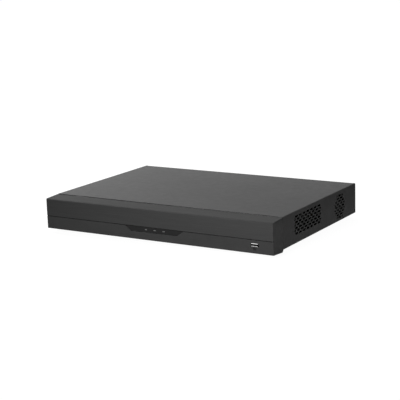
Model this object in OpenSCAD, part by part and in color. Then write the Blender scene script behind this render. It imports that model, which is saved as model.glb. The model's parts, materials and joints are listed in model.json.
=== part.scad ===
// Digital video recorder for sixteen cameras: a folded steel case with two hard drives,
// a moulded front, a side fan and a rear panel of sockets. Millimetres, +Z up, front at -Y.
// Inside the modules y = 0 is the front face of the bezel; in_frame() centres the part.

/* [Case] */
// Width of the sheet metal cover
case_w = 374.6; // [368:0.2:440]
// Height of the case, from its underside to its top
case_h = 44.5; // [44:0.5:70]
// Depth from the bezel's face to the rear of the case
case_d = 263; // [258:1:340]
// Thickness of the case's sheet metal
sheet = 0.8; // [0.6:0.1:1.2]
// Outside radius of the folds
bend_r = 1.3; // [1.3:0.1:2.5]
// Height of the cover's lip over the rear panel
lip_h = 7.2; // [6.6:0.1:7.4]
// Height of the tray's side flanges
flange_h = 10; // [6:0.5:11]
// Gap between the cover and what it slides over
slide_gap = 0.2; // [0.1:0.05:0.4]

/* [Bezel] */
// How far each end cap stands out past the cover
bezel_proud = 0.2; // [0:0.1:1]
// Depth of the bezel's end caps
bezel_d = 27.8; // [24:0.2:34]
// How far the front's lower edge hangs below the case
bezel_drop = 1.5; // [0.5:0.1:3]
// How much lower the underside is at the heel
bezel_heel = 2; // [0.5:0.1:2.6]
// How far the cover stands above the top band
band_step = 0.7; // [0.2:0.1:1]
// Fall of the top band from the cover to the front edge
band_fall = 1.3; // [0.5:0.1:3]
// Wall of the bezel
bezel_wall = 2.2; // [1.6:0.1:2.6]
// Height of the seam above the front's lower edge
seam_h = 18.9; // [17:0.1:22]
// Width of the groove along the front's seam
seam_gap = 0.8; // [0.2:0.1:1]
// Gap between the top band and the cover
cover_gap = 0.6; // [0.2:0.1:0.8]
// Thickness of the brushed upper panel
skin = 1.5; // [1:0.1:2]
// Radius of the upper panel's front edge
brow_r = 2.6; // [2.1:0.1:4]
// Radius of the heel
heel_r = 3.5; // [2:0.1:5]

/* [Indicators] */
// Width of the indicator window along the seam
window_top_w = 96; // [84:1:120]
// Width of the indicator window along its lower edge
window_base_w = 76; // [60:1:82]
// Height of the indicator window
window_h = 7.2; // [5:0.1:9]
// Distance between the indicators
lamp_pitch = 14.8; // [8:0.1:18]
// Length of an indicator's lit end
lamp_l = 3.6; // [2:0.1:5]
// Height of an indicator's lit end
lamp_w = 1; // [0.6:0.1:1.6]

/* [Vents] */
// Length of a vent slot
slot_l = 9.6; // [5:0.1:9.8]
// Height of a vent slot
slot_w = 3.1; // [1.6:0.1:3.2]
// Distance between the slots of a row
slot_pitch = 11.6; // [10.6:0.1:14]
// Distance between the rows
row_pitch = 4; // [3.6:0.1:4.4]
// Rows in the vent beside the drives
drive_vent_rows = 7; // [3:2:7]
// Width of the vent beside the drives
drive_vent_w = 83.4; // [40:0.2:90]
// Distance of the drive vent's middle from the bezel's face
drive_vent_y = 103; // [90:1:110]
// Height of the drive vent's middle above the case's underside
drive_vent_z = 24.8; // [23:0.1:27]

// Rows in the fan's hexagonal vent
fan_vent_rows = 9; // [5:2:9]
// Width of the fan's vent across its corners
fan_vent_w = 40; // [30:0.5:41]

/* [Fan] */
// Side of the square fan
fan_size = 40; // [36:0.5:40.5]
// Thickness of the fan
fan_t = 20; // [15:1:25]
// Distance between the fan's screws
fan_pitch = 32; // [30:0.5:33]
// Distance of the fan's axis from the rear of the case
fan_inset = 55.7; // [52:0.1:66]
// Radius of the fan's hub
hub_r = 10.5; // [9:0.1:12]
// Number of blades
blades = 7; // [5:1:9]
// Gap between the blade tips and the duct
tip_gap = 0.5; // [0.3:0.05:0.8]
// Radius of the fan's shaft
shaft_r = 1; // [0.8:0.05:1.5]
// Running clearance of the fan's shaft and of the switch's pivot
run_gap = 0.05; // [0.03:0.01:0.08]

/* [Feet] */
// Height of a foot below the case
foot_h = 8.5; // [6:0.5:12]
// Radius of a foot
foot_r = 10; // [7:0.5:12]
// Distance of the feet from the sides of the case
foot_side_inset = 37.3; // [28:0.1:60]
// Distance of the front feet from the bezel's face
foot_front_y = 48; // [45:1:60]
// Distance of the rear feet from the rear of the case
foot_rear_inset = 31; // [24:1:60]

/* [Drives] */
// Length of a drive
drive_l = 147; // [146:0.5:148]
// Width of a drive
drive_w = 101.6; // [100:0.1:102]
// Height of a drive
drive_h = 26.1; // [20:0.1:27]
// Height of the pads that carry the drives
pad_h = 3; // [2.4:0.1:4]
// Gap between the two drives
drive_gap = 29; // [28:0.5:31]
// Distance of the drives from the bezel's face
drive_y = 40; // [36:1:44]
// Gap between the tray's side flange and the first drive
drive_margin = 6; // [3:0.5:8]

/* [Boards] */
// Thickness of the circuit boards
pcb_t = 1.6; // [1:0.1:2]
// Gap between the drives and the main board
board_gap = 10.4; // [8:0.2:16]
// Height of the main board's standoffs
standoff_h = 5; // [4:0.5:6]

/* [Sockets] */
// Distance between the columns of camera sockets
bnc_pitch = 16; // [15.4:0.1:16.4]
// Distance between the two rows
bnc_rise = 15.5; // [14:0.1:15.8]
// Outside radius of a camera socket's barrel
bnc_r = 4.8; // [4.5:0.05:4.85]
// How far a camera socket stands out of the case
bnc_reach = 16.5; // [13:0.5:20]
// Outside radius of an audio socket's shell
rca_r = 4.15; // [4:0.05:4.3]
// How far an audio socket's shell stands out of the case
rca_reach = 8.5; // [7:0.5:10]
// Distance between the audio sockets
rca_rise = 14; // [12:0.5:15]
// Ways of the terminal plug
terminal_ways = 6; // [2:1:6]
// Distance between the terminals
terminal_pitch = 3.81; // [3.5:0.01:3.81]
// Gap around a socket in the rear panel
port_gap = 0.3; // [0.2:0.05:0.5]

/* [Switch] */
// Height of the power switch's flange
switch_h = 15; // [13:0.5:17]
// Width of the power switch's flange
switch_w = 10.5; // [9:0.5:12]
// Half of the rocker's travel, in degrees
rocker_tilt = 10; // [6:1:11]

/* [Hidden] */
$fn = 48;
touch = 0.01;
screw_r = 1.5;
screw_head_r = 2.8;
screw_head_h = 1.9;
screw_gap = 0.1;
overall_d = case_d + bnc_reach;
z_base = foot_h;
z_floor = z_base + sheet;
z_top = z_base + case_h;
z_roof = z_top - sheet;
z_board = z_floor + standoff_h;
z_parts = z_board + pcb_t;

// The cover's walls, the tray inside them and the nose inside the bezel
bezel_w = case_w + 2 * bezel_proud;
cover_y = bezel_d + cover_gap;
tray_w = case_w - 2 * (sheet + slide_gap);
nose_gap = 0.6;
nose_w = bezel_w - 2 * (bezel_wall + nose_gap);
nose_y = 15.5;
nose_lip = 8;
panel_y = case_d - sheet;
inner_y = panel_y - sheet;
panel_fold = 10;
lip_relief = 3;
lip_screw_z = z_top - lip_h + screw_head_r + 0.2;
lip_screw_inset = 37.3;
lip_screws_x = [-case_w / 2 + lip_screw_inset, 0, case_w / 2 - lip_screw_inset];

// The bezel's side outline
z_chin = z_base - bezel_drop;
z_seam = z_chin + seam_h;
z_brow = z_top - band_step - band_fall;
nose_z = z_brow - 3;
band_a = atan2(band_fall, bezel_d);
heel_a = atan2(bezel_heel, bezel_d);
backing = 1.6;
corner_r = 1;
rib_t = 1.5;
ribs_x = [window_top_w / 2 + 14, window_top_w / 2 + 48, bezel_w / 2 - 57.5, bezel_w / 2 - 9.5];
rib_d = 8;
hook_x = bezel_w / 2 - 47.5;
hooks_x = [-hook_x, -hook_x / 2, hook_x / 2, hook_x];
hook_w = 7;
hook_z = z_seam + 15;
hook_t = 1.6;
hook_barb = 1.2;

// The indicators and the front socket
pocket_d = 1;
window_t = 1.2;
window_gap = 0.1;
pocket_y = pocket_d + window_t;
pocket_wall = 1.6;
lamps_x = [-lamp_pitch, 0, lamp_pitch];
z_lamp = z_seam - window_h / 2;
front_pcb_y = nose_y - pcb_t;
front_pcb_z = [z_floor + 1, z_seam + 5];
lamp_size = [3, 1.2, 1.6];
guide_bar_t = 1.5;
usb_x = bezel_w / 2 - 28.3;
z_usb = z_chin + 11.2;
usb_w = 13.1;
usb_h = 5.5;
usb_wall = 0.35;
usb_inner = [usb_w - 2 * usb_wall, usb_h - 2 * usb_wall];
usb_spring = [10.2, 4.6, 0.65];
usb_sink = 1.3;
usb_gap = 0.3;
usb_l = front_pcb_y - usb_sink;
usb_rim = 1;
usb_scoop = [3.3, 1.4, 3.7];
usb_scoop_d = 1.7;
usb_tongue = [11.1, 1.8];
usb_tongue_back = 2;
rear_usb_l = 14;

// The fan, whose outer face lies on the tray's bracket
fan_x = tray_w / 2 - sheet - fan_t;
fan_y = case_d - fan_inset;
fan_z = z_floor + 0.3 + fan_size / 2;
duct_r = fan_size / 2 - 1.4;
fan_flange = 3.5;
fan_bracket = fan_size + 4;
fan_window_r = fan_pitch / sqrt(2) - screw_r - screw_gap - 1.2;
tube_r = 3.2;
strut_t = 2.4;
fan_hole_r = 2.15;
blade_t = 0.9;
blade_curve_r = 13;
fan_screw_head_h = 2;

// The drives
drives_x = [for (i = [0, 1]) -tray_w / 2 + sheet + drive_margin + i * (drive_l + drive_gap)];
drive_z = z_floor + pad_h;
drive_lid_t = 1.2;
drive_holes_x = [drive_l - 41.28, drive_l - 85.73];
drive_holes_y = [-47.625, 47.625];
drive_tap = 6;
pad_r = 6;
pad_skirt = 3;
platter_r = 48;
link_h = 5;
link_z = z_parts + 0.4 + link_h / 2;
link_t = 1.4;
link_turn = 2;
links = [[30, 5], [54, 2.5]];
link_plug = [8, 14, link_h];

// The main board
board_y = drive_y + drive_w + board_gap;
board_d = inner_y - 1 - board_y;
board_w = tray_w - 16;
notch_x = fan_x - 7;
notch_y = fan_y + fan_size / 2 + 3.7;
standoff_first = -board_w / 2 + 13;
standoff_step = (notch_x - 18 - standoff_first) / 3;
standoffs = [for (i = [0 : 3], y = [board_y + 6, inner_y - 33]) [standoff_first + i * standoff_step, y]];
standoff_r = 2.75;
chip = [27, 27, 2.2];
sink = [40, 40, 16];
sink_fins = 9;
sink_base = 4;
capacitors_at = [for (i = [0 : 4]) [standoff_first + 17 + i * 13, inner_y - 47]];
battery_at = [notch_x - 58, board_y + 30];

// The rear panel's sockets, from the fan's side to the switch's side
switch_x = -tray_w / 2 + 26;
ground_x = switch_x + 16;
dc_x = switch_x + 29;
terminal_x = switch_x + 54;
lan_x = switch_x + 85;
rear_usb_x = switch_x + 109;
hdmi_x = switch_x + 132;
vga_x = switch_x + 164;
rca_x = switch_x + 194;
bnc_first = tray_w / 2 - 18.2;
bnc_last = rca_x + 14.2;
bnc_x = [for (x = [bnc_first : -bnc_pitch : bnc_last]) x];
bnc_z = [z_parts + 7.4, z_parts + 7.4 + bnc_rise];
bnc_tip = case_d + bnc_reach;
bnc_collar_r = 6;
bnc_bore_r = bnc_r - 0.75;
bnc_floor = bnc_tip - 13.5;
bnc_lug_r = 0.95;
bnc_lug_reach = bnc_r + 0.8;
bnc_lug_back = 4.2;
bnc_box = [bnc_pitch - 1, 18];
chip_at = [rca_x, (board_y + inner_y - bnc_box[1]) / 2];
rca_z = [z_parts + 7.4, z_parts + 7.4 + rca_rise];
rca_collar_r = rca_r + 0.75;
rca_tip = case_d + rca_reach;
rca_box = [11, 14];
vga_z = z_parts + 6.6;
vga_spread = 12.5;
hdmi_z = z_parts + 3.4;
rear_usb_z = z_parts + usb_h / 2 + 0.4;
lan = [15.9, 18, 13.3];
lan_mouth = [11.8, 6.9];
terminal_w = terminal_ways * terminal_pitch + 1.4;
terminal_z = z_parts + 5.2;
terminal_h = 9;
plug_tongue = [terminal_w - 3, 6.8];
dc_z = z_parts + 6.4;
dc_bore_r = 3.1;
ground_z = z_top - 15;
switch_z = z_parts + 15;
rocker_r = switch_h / 2 - 2.3;
rocker_w = switch_w - 4.4;
pivot_y = panel_y + 0.2;
pivot_r = 0.9;
rocker_gap = 0.3;
rocker_face = 2.4;
switch_flange = 1.5;
switch_body_d = 14;

// Sizes of the inner pieces
header_inset = 4;
lead_socket = [2.2, 12, 7];
ribbon_x = (drives_x[0] + drive_l + drives_x[1]) / 2;
ribbon_w = 16;
ribbon_t = 1;
ribbon_z = z_parts + lead_socket[2] + ribbon_t / 2 + 0.9;
ribbon_bend = 3.5;
ribbon_header = [ribbon_w + 2, 5, 4];
ribbon_end_y = board_y + header_inset + lead_socket[1] + 6;
front_pcb_x = [ribbon_x - ribbon_w / 2 - 8.4, usb_x + 16.8];
drive_pcb = [96, 76];
drive_pcb_t = 1.2;
drive_pcb_gap = 0.6;
drive_plug_d = 8;
drive_pcb_x = drive_l / 2 - drive_plug_d - drive_pcb[0] / 2 - 0.3;
drive_plug_w = 44;
drive_plug_h = 9;
drive_plug_y = -8.8;
sink_fin_t = 1.2;
capacitor_r = 4;
capacitor_h = 12;
bearing_l = fan_t - 6;
hub_wall = 1.2;
fan_lead_in = 6;
bnc_shank = 5;
bnc_collar = 1.2;
bnc_pin_r = 1.05;
bnc_core_r = 2.4;
rca_bore_r = 1.6;
d_size = [17, 8.4];
d_slope = 1;
vga_reach = 5;
jack_bore_r = 1.25;
hdmi_size = [15, 5.6];
hdmi_l = 12;
lan_skin = 0.5;
lan_depth = 13;
lan_mouth_z = 1.2;
terminal_d = 12;
plug_gap = 0.3;
plug_depth = 7.5;
plug_body_d = 10;
plug_rise = 3;
plug_screw_y = case_d + 4.2;
plug_screw_r = 1.3;
plug_screw_sink = 0.6;
foot_bore_r = 3.4;
foot_sink = 3;

// ---- Shared shapes ----

// Puts the part's origin under the middle of its box
module in_frame() translate([0, -overall_d / 2, 0]) children();

// Extrudes a (Y, Z) outline along X, centred on x = 0
module along_x(length) translate([-length / 2, 0, 0]) rotate([90, 0, 90]) linear_extrude(length) children();

// Extrudes an (X, Z) outline along Y, from y to y + length
module along_y(y, length) translate([0, y + length, 0]) rotate([90, 0, 0]) linear_extrude(length) children();

// Turns a solid's +Z to +Y, so that it can be built upright
module face_rear() rotate([-90, 0, 0]) children();

// Points of an arc round c from angle a0 to a1
function arc(c, r, a0, a1, n = 6) = [for (i = [0 : n]) c + r * [cos(a0 + (a1 - a0) * i / n), sin(a0 + (a1 - a0) * i / n)]];

// Rectangle centred on the origin, with round corners
module round_rect(w, h, r) {
    x = w / 2 - r;
    y = h / 2 - r;
    polygon(concat(arc([x, y], r, 0, 90), arc([-x, y], r, 90, 180), arc([-x, -y], r, 180, 270), arc([x, -y], r, 270, 360)));
}

// Slot of overall length l with round ends
module stadium(l, w) {
    square([l - w, w], center = true);
    for (x = [-1, 1]) translate([x * (l - w) / 2, 0]) circle(d = w);
}

// A row of slots from -half to half; slots that cross the ends are cut short
module slot_row(half, shift) {
    n = ceil(half / slot_pitch) + 1;
    for (k = [-n : n]) {
        left = max(k * slot_pitch + shift - slot_l / 2, -half);
        right = min(k * slot_pitch + shift + slot_l / 2, half);
        if (right - left > slot_w * 1.2) translate([(left + right) / 2, 0]) stadium(right - left, slot_w);
    }
}

// Staggered rows of slots, centred on the origin; the ends lean in by slope above and below the middle
module slot_field(rows, width, slope = 0) for (i = [0 : rows - 1]) {
    z = (i - (rows - 1) / 2) * row_pitch;
    translate([0, z]) slot_row(width / 2 - abs(z) * slope, (i % 2) * slot_pitch / 2);
}

// Tube round the Z axis from z0 to z1
module tube(r_out, r_in, z0, z1) difference() {
    translate([0, 0, z0]) cylinder(r = r_out, h = z1 - z0);
    translate([0, 0, z0 - touch]) cylinder(r = r_in, h = z1 - z0 + 2 * touch);
}

// Pan head screw along +Z: the head stands on z = 0 and the shank hangs below
module pan_screw(length, r = screw_r, head_r = screw_head_r, head_h = screw_head_h) {
    difference() {
        union() {
            cylinder(r = head_r, h = head_h * 0.6);
            translate([0, 0, head_h * 0.6]) cylinder(r1 = head_r, r2 = head_r * 0.72, h = head_h * 0.4);
        }
        for (a = [0, 90]) rotate(a) translate([-head_r * 0.55, -0.3, head_h * 0.45]) cube([head_r * 1.1, 0.6, head_h]);
    }
    translate([0, 0, -length]) cylinder(r = r, h = length);
}

// ---- Case ----

module tray_side(side) {
    y0 = cover_y + slide_gap;
    translate([side > 0 ? tray_w / 2 - sheet : -tray_w / 2, y0, z_base]) cube([sheet, inner_y - y0, flange_h]);
}

module fan_bracket() translate([tray_w / 2 - sheet, fan_y - fan_bracket / 2, z_base])
    cube([sheet, fan_bracket, fan_z + fan_size / 2 - z_base]);

module fan_bracket_holes() translate([tray_w / 2, fan_y, fan_z]) rotate([0, 90, 0]) {
    cylinder(r = fan_window_r, h = 4 * sheet, center = true);
    fan_corners() cylinder(r = screw_r + screw_gap, h = 4 * sheet, center = true);
}

// The four screw places of the fan, about its axis
module fan_corners() for (a = [0 : 3]) rotate(45 + 90 * a) translate([fan_pitch / sqrt(2), 0, 0]) children();

// Where each drive's four screws go
module drive_holes() for (x0 = drives_x, x = drive_holes_x, y = drive_holes_y)
    translate([x0 + x, drive_y + drive_w / 2 + y, 0]) children();

module foot_places() for (side = [-1, 1], y = [foot_front_y, case_d - foot_rear_inset])
    translate([side * (case_w / 2 - foot_side_inset), y, 0]) children();

module base_tray() in_frame() color("dimgray") difference() {
    union() {
        translate([-tray_w / 2, cover_y + slide_gap, z_base]) cube([tray_w, inner_y - cover_y - slide_gap, sheet]);
        translate([-nose_w / 2, nose_y, z_base]) cube([nose_w, cover_y + slide_gap - nose_y + touch, sheet]);
        along_x(nose_w) nose_profile();
        for (side = [-1, 1]) tray_side(side);
        fan_bracket();
        drive_holes() translate([0, 0, z_floor - touch]) cylinder(r1 = pad_r + pad_skirt, r2 = pad_r, h = pad_h + touch);
    }
    translate([0, 0, z_base - touch]) {
        drive_holes() cylinder(r1 = pad_r + pad_skirt - sheet, r2 = pad_r - sheet, h = pad_h + touch);
        drive_holes() cylinder(r = screw_r + screw_gap, h = pad_h + 2 * sheet);
        foot_places() cylinder(r = screw_r + screw_gap, h = 3 * sheet);
    }
    fan_bracket_holes();
    for (x = hooks_x) translate([x - hook_w / 2 - 1, nose_y - sheet, hook_z - 2]) cube([hook_w + 2, 3 * sheet, hook_t + 4.4]);
    translate([ribbon_x - ribbon_w / 2 - 1, nose_y - sheet, ribbon_z - 2]) cube([ribbon_w + 2, 3 * sheet, 4]);
}

// The tray's front wall, with its top folded back
module nose_profile() polygon(concat(
    [[nose_y, z_base]],
    arc([nose_y + bend_r, nose_z - bend_r], bend_r, 180, 90),
    [[nose_y + nose_lip, nose_z], [nose_y + nose_lip, nose_z - sheet]],
    arc([nose_y + bend_r, nose_z - bend_r], bend_r - sheet, 90, 180),
    [[nose_y + sheet, z_base]]));

// Cut-outs of the rear panel, drawn in (X, Z)
module panel_ports() {
    for (x = bnc_x, z = bnc_z) translate([x, z]) circle(r = bnc_collar_r + port_gap);
    for (z = rca_z) translate([rca_x, z]) circle(r = rca_collar_r + port_gap);
    translate([vga_x, vga_z]) d_outline(port_gap);
    for (x = [-vga_spread, vga_spread]) translate([vga_x + x, vga_z]) circle(r = screw_r);
    translate([hdmi_x, hdmi_z]) hdmi_outline(port_gap);
    translate([rear_usb_x, rear_usb_z]) square([usb_w + 2 * port_gap, usb_h + 2 * port_gap], center = true);
    translate([lan_x, z_parts + lan[2] / 2]) square([lan[0] + 2 * port_gap, lan[2] + 2 * port_gap], center = true);
    translate([terminal_x, terminal_z]) square([terminal_w + 2 * port_gap, terminal_h + 2 * port_gap], center = true);
    translate([dc_x, dc_z]) circle(r = dc_bore_r + 1.5 + port_gap);
    translate([ground_x, ground_z]) circle(r = screw_r + screw_gap);
    translate([switch_x, switch_z]) square([switch_w - 1.8, switch_h - 1.8], center = true);
    for (x = lip_screws_x) translate([x, lip_screw_z]) circle(r = screw_r + screw_gap);
}

// Outline of the rear panel, whose top corners clear the cover's folds
module panel_outline() {
    x = tray_w / 2 - bend_r;
    polygon(concat([[-tray_w / 2, z_base], [tray_w / 2, z_base]],
        arc([x, z_roof - bend_r], bend_r, 0, 90), arc([-x, z_roof - bend_r], bend_r, 90, 180)));
}

// The plate with its four edges folded forwards
module folded_panel() {
    wide = tray_w - 2 * (sheet + slide_gap);
    along_y(inner_y, sheet) panel_outline();
    for (z = [z_floor, z_roof - sheet]) translate([-wide / 2, inner_y - panel_fold, z]) cube([wide, panel_fold + touch, sheet]);
    for (side = [-1, 1]) translate([side * (wide - sheet) / 2, inner_y - panel_fold / 2, (z_floor + z_roof) / 2])
        cube([sheet, panel_fold + 2 * touch, z_roof - z_floor - 2 * touch], center = true);
}

module rear_panel() in_frame() color("dimgray") difference() {
    intersection() {
        folded_panel();
        along_x(tray_w + 2) polygon(concat(
            [[inner_y - 2 * panel_fold, z_base - 1], [panel_y, z_base - 1]],
            arc([panel_y - bend_r, z_roof - bend_r], bend_r, 0, 90), [[inner_y - 2 * panel_fold, z_roof]]));
    }
    along_y(inner_y - 1, sheet + 2) panel_ports();
}

// Outline of the cover's folded sheet across the case
module cover_profile() {
    x = case_w / 2;
    c = [x - bend_r, z_top - bend_r];
    d = [-c[0], c[1]];
    polygon(concat(
        [[-x, z_base]], arc(d, bend_r, 180, 90), arc(c, bend_r, 90, 0),
        [[x, z_base], [x - sheet, z_base]],
        arc(c, bend_r - sheet, 0, 90), arc(d, bend_r - sheet, 90, 180), [[-x + sheet, z_base]]));
}

// Outline of the lip that folds down over the rear panel
module lip_profile() {
    c = [case_d - bend_r, z_top - bend_r];
    polygon(concat(
        [[c[0] - 1, z_top]], arc(c, bend_r, 90, 0), [[case_d, z_top - lip_h], [case_d - sheet, z_top - lip_h]],
        arc(c, bend_r - sheet, 0, 90), [[c[0] - 1, z_top - sheet]]));
}

module drive_vent() translate([drive_vent_y, z_base + drive_vent_z]) slot_field(drive_vent_rows, drive_vent_w);

module fan_vent() translate([fan_y, fan_z]) slot_field(fan_vent_rows, fan_vent_w, tan(30));

module top_cover() in_frame() color("darkslategray") difference() {
    union() {
        difference() {
            along_y(cover_y, case_d - cover_y) cover_profile();
            translate([0, case_d, z_top]) cube([case_w - 2 * lip_relief, 2 * bend_r, 2 * bend_r], center = true);
        }
        along_x(case_w - 2 * lip_relief) lip_profile();
    }
    along_x(case_w + 2) drive_vent();
    translate([case_w / 2, 0, 0]) along_x(4 * sheet) fan_vent();
    for (x = lip_screws_x) translate([x, panel_y - touch, lip_screw_z]) face_rear() cylinder(r = screw_r + screw_gap, h = 2 * sheet);
}

// ---- Bezel ----

// Height of the bezel's underside and of its top band at depth y
function chin_at(y) = z_chin - y * tan(heel_a);
function band_at(y) = z_brow + y * tan(band_a);
function brow_c() = [brow_r, z_brow - (brow_r - brow_r * sin(band_a)) / cos(band_a)];
function heel_c() = [bezel_d - heel_r, z_chin + (heel_r - (bezel_d - heel_r) * sin(heel_a)) / cos(heel_a)];

// Plan of the bezel with its front corners rounded, tall enough for the whole front
module bezel_plan() {
    x = bezel_w / 2 - corner_r;
    linear_extrude(z_top + 1) polygon(concat(
        [[-bezel_w / 2, bezel_d + 1]], arc([-x, corner_r], corner_r, 180, 270),
        arc([x, corner_r], corner_r, 270, 360), [[bezel_w / 2, bezel_d + 1]]));
}

// Side outline of the bezel behind the upper panel
module bezel_side() polygon(concat(
    [[0, z_seam - seam_gap], [0, z_chin]],
    arc(heel_c(), heel_r, -90 - heel_a, 0),
    [[bezel_d, band_at(bezel_d) - skin / cos(band_a)]],
    arc(brow_c(), brow_r - skin, 90 + band_a, 180),
    [[skin, z_seam - seam_gap]]));

// Side outline of the hollow of the bezel, open at the back
module bezel_hollow() {
    back = bezel_d + 1;
    deep = skin + backing;
    polygon([
        [bezel_wall, chin_at(bezel_wall) + bezel_wall], [back, chin_at(back) + bezel_wall],
        [back, band_at(back) - deep], [deep, band_at(deep) - deep],
        [deep, z_seam - 3], [bezel_wall, z_seam - 3]]);
}

// Outline of the indicator window below the seam, in (X, Z)
module window_outline(gap) {
    top = z_seam - seam_gap;
    slope = (window_top_w - window_base_w) / 2 / window_h;
    high_x = window_top_w / 2 + gap * (sqrt(1 + slope * slope) + slope);
    low_x = window_base_w / 2 + gap * (sqrt(1 + slope * slope) - slope);
    polygon([[-high_x, top + gap], [high_x, top + gap], [low_x, top - window_h - gap], [-low_x, top - window_h - gap]]);
}

// Outline of the finger scoop under the front socket, in (X, Z)
module scoop_outline() translate([0, -usb_inner[1] / 2 - usb_rim]) polygon([
    [-usb_scoop[0], 0], [usb_scoop[0], 0], [usb_scoop[1], -usb_scoop[2]], [-usb_scoop[1], -usb_scoop[2]]]);

module lamp_outlines(gap) for (x = lamps_x) translate([x, z_lamp]) stadium(lamp_l + 2 * gap, lamp_w + 2 * gap);

// A snap hook that reaches through the tray's front wall
module bezel_hook() along_x(hook_w) translate([0, hook_z]) polygon([
    [skin + backing - touch, 0], [nose_y + 3.6, 0], [nose_y + 3.6, hook_t], [nose_y + sheet + 0.3, hook_t + hook_barb],
    [nose_y + sheet + 0.3, hook_t], [skin + backing - touch, hook_t]]);

// A gusset between the lower wall and the underside
module bezel_rib() along_x(rib_t) polygon([
    [bezel_wall - touch, chin_at(bezel_wall) + bezel_wall - touch],
    [bezel_wall + rib_d, chin_at(bezel_wall + rib_d) + bezel_wall - touch],
    [bezel_wall + 1.5, z_seam - 4], [bezel_wall - touch, z_seam - 4]]);

// The wall behind the indicator window
module pocket_back() translate([pocket_y - touch, z_seam - window_h - 3])
    square([pocket_wall + touch, window_h + 1]);

module bezel_shell() {
    difference() {
        intersection() {
            along_x(bezel_w) bezel_side();
            bezel_plan();
        }
        along_x(bezel_w - 2 * bezel_wall) bezel_hollow();
    }
    along_x(window_top_w + 6) pocket_back();
}

module front_bezel() in_frame() color("#2b2b2d") {
    difference() {
        bezel_shell();
        along_y(-1, 1 + pocket_y) window_outline(window_gap);
        along_y(-1, 1 + pocket_y + pocket_wall + 1) lamp_outlines(window_gap);
        translate([usb_x, 0, z_usb]) {
            along_y(-1, bezel_wall + 2) round_rect(usb_inner[0], usb_inner[1], 0.4);
            along_y(usb_sink - usb_gap, bezel_wall) round_rect(usb_w + 2 * usb_gap, usb_h + 2 * usb_gap, 0.6);
            along_y(-1, 1 + usb_scoop_d) scoop_outline();
        }
    }
    for (side = [-1, 1], x = ribs_x) translate([side * x, 0, 0]) bezel_rib();
    for (x = hooks_x) translate([x, 0, 0]) bezel_hook();
}

module upper_panel() in_frame() color("#3a3a3c") intersection() {
    along_x(bezel_w) polygon(concat(
        [[0, z_seam]], arc(brow_c(), brow_r, 180, 90 + band_a), [[bezel_d, band_at(bezel_d)]],
        [[bezel_d, band_at(bezel_d) - skin / cos(band_a)]], arc(brow_c(), brow_r - skin, 90 + band_a, 180), [[skin, z_seam]]));
    bezel_plan();
}

module indicator_window() in_frame() color("#101012") along_y(pocket_d, window_t) window_outline(0);

// Three rods of clear plastic that carry the lamps' light to the window
module light_guide() in_frame() color("gainsboro") {
    back = front_pcb_y - lamp_size[1] - 0.3;
    along_y(pocket_y, back - pocket_y) lamp_outlines(0);
    along_y(pocket_y + pocket_wall, guide_bar_t) translate([0, z_lamp])
        square([2 * lamp_pitch + lamp_l + 4, lamp_w + 2], center = true);
}

module indicator_lamps() in_frame() color("ghostwhite") for (x = lamps_x)
    translate([x, front_pcb_y - lamp_size[1] / 2, z_lamp]) cube(lamp_size, center = true);

module front_board() in_frame() color("darkgreen") {
    w = front_pcb_x[1] - front_pcb_x[0];
    h = front_pcb_z[1] - front_pcb_z[0];
    translate([front_pcb_x[0], front_pcb_y, front_pcb_z[0]]) cube([w, pcb_t, h]);
}

// Outline of the bowed spring under the roof of a USB socket, in (Y, Z)
module usb_spring() {
    roof = usb_inner[1] / 2 + touch;
    crest = roof - usb_spring[2];
    middle = 0.5 + usb_spring[1] / 2;
    polygon([
        [0.5, roof], [middle - 0.6, crest], [middle + 0.6, crest], [0.5 + usb_spring[1], roof],
        [usb_spring[1] - 0.3, roof], [middle + 0.4, crest + 0.3], [middle - 0.4, crest + 0.3], [1.3, roof]]);
}

// USB socket built along Y: its mouth is at y = 0 and its back at y = length
module usb_shell(length) {
    difference() {
        along_y(0, length) round_rect(usb_w, usb_h, 0.5);
        along_y(-1, length + 1 - usb_wall) round_rect(usb_inner[0], usb_inner[1], 0.3);
        for (x = [-3, 3], side = [-1, 1]) translate([x, usb_spring[1] + 3.2, side * usb_h / 2]) cube([1.8, 4, 4 * usb_wall], center = true);
    }
    for (side = [0, 1]) mirror([0, 0, side]) along_x(usb_spring[0]) usb_spring();
}

module usb_insert(length) {
    along_y(length - usb_wall - usb_tongue_back, usb_tongue_back) round_rect(usb_inner[0], usb_inner[1], 0.4);
    along_y(1.2, length - usb_wall - usb_tongue_back - 1.2 + touch) translate([0, usb_inner[1] / 2 - 1.1 - usb_tongue[1] / 2])
        square(usb_tongue, center = true);
}

module front_usb_shell() in_frame() color("silver") translate([usb_x, usb_sink, z_usb]) usb_shell(usb_l);

module front_usb_tongue() in_frame() color("ghostwhite") translate([usb_x, usb_sink, z_usb]) usb_insert(usb_l);

// ---- Leads inside the case ----

// Points of a path moved sideways by d
function beside(path, d) = [for (i = [0 : len(path) - 1])
    let (a = path[max(i - 1, 0)], b = path[min(i + 1, len(path) - 1)], v = (b - a) / norm(b - a)) path[i] + d * [-v[1], v[0]]];

function reversed(list) = [for (i = [len(list) - 1 : -1 : 0]) list[i]];

// Flat strip of thickness t along a path
module strip(path, t) polygon(concat(beside(path, t / 2), reversed(beside(path, -t / 2))));

// Runs between the drives, over their leads, and down into its header on the main board
module front_ribbon() in_frame() color("lightgray") translate([ribbon_x, 0, 0]) along_x(ribbon_w) strip(concat(
    [[nose_y, ribbon_z]],
    arc([ribbon_end_y - ribbon_bend, ribbon_z - ribbon_bend], ribbon_bend, 90, 0),
    [[ribbon_end_y, z_parts + ribbon_header[2]]]), ribbon_t);

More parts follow.
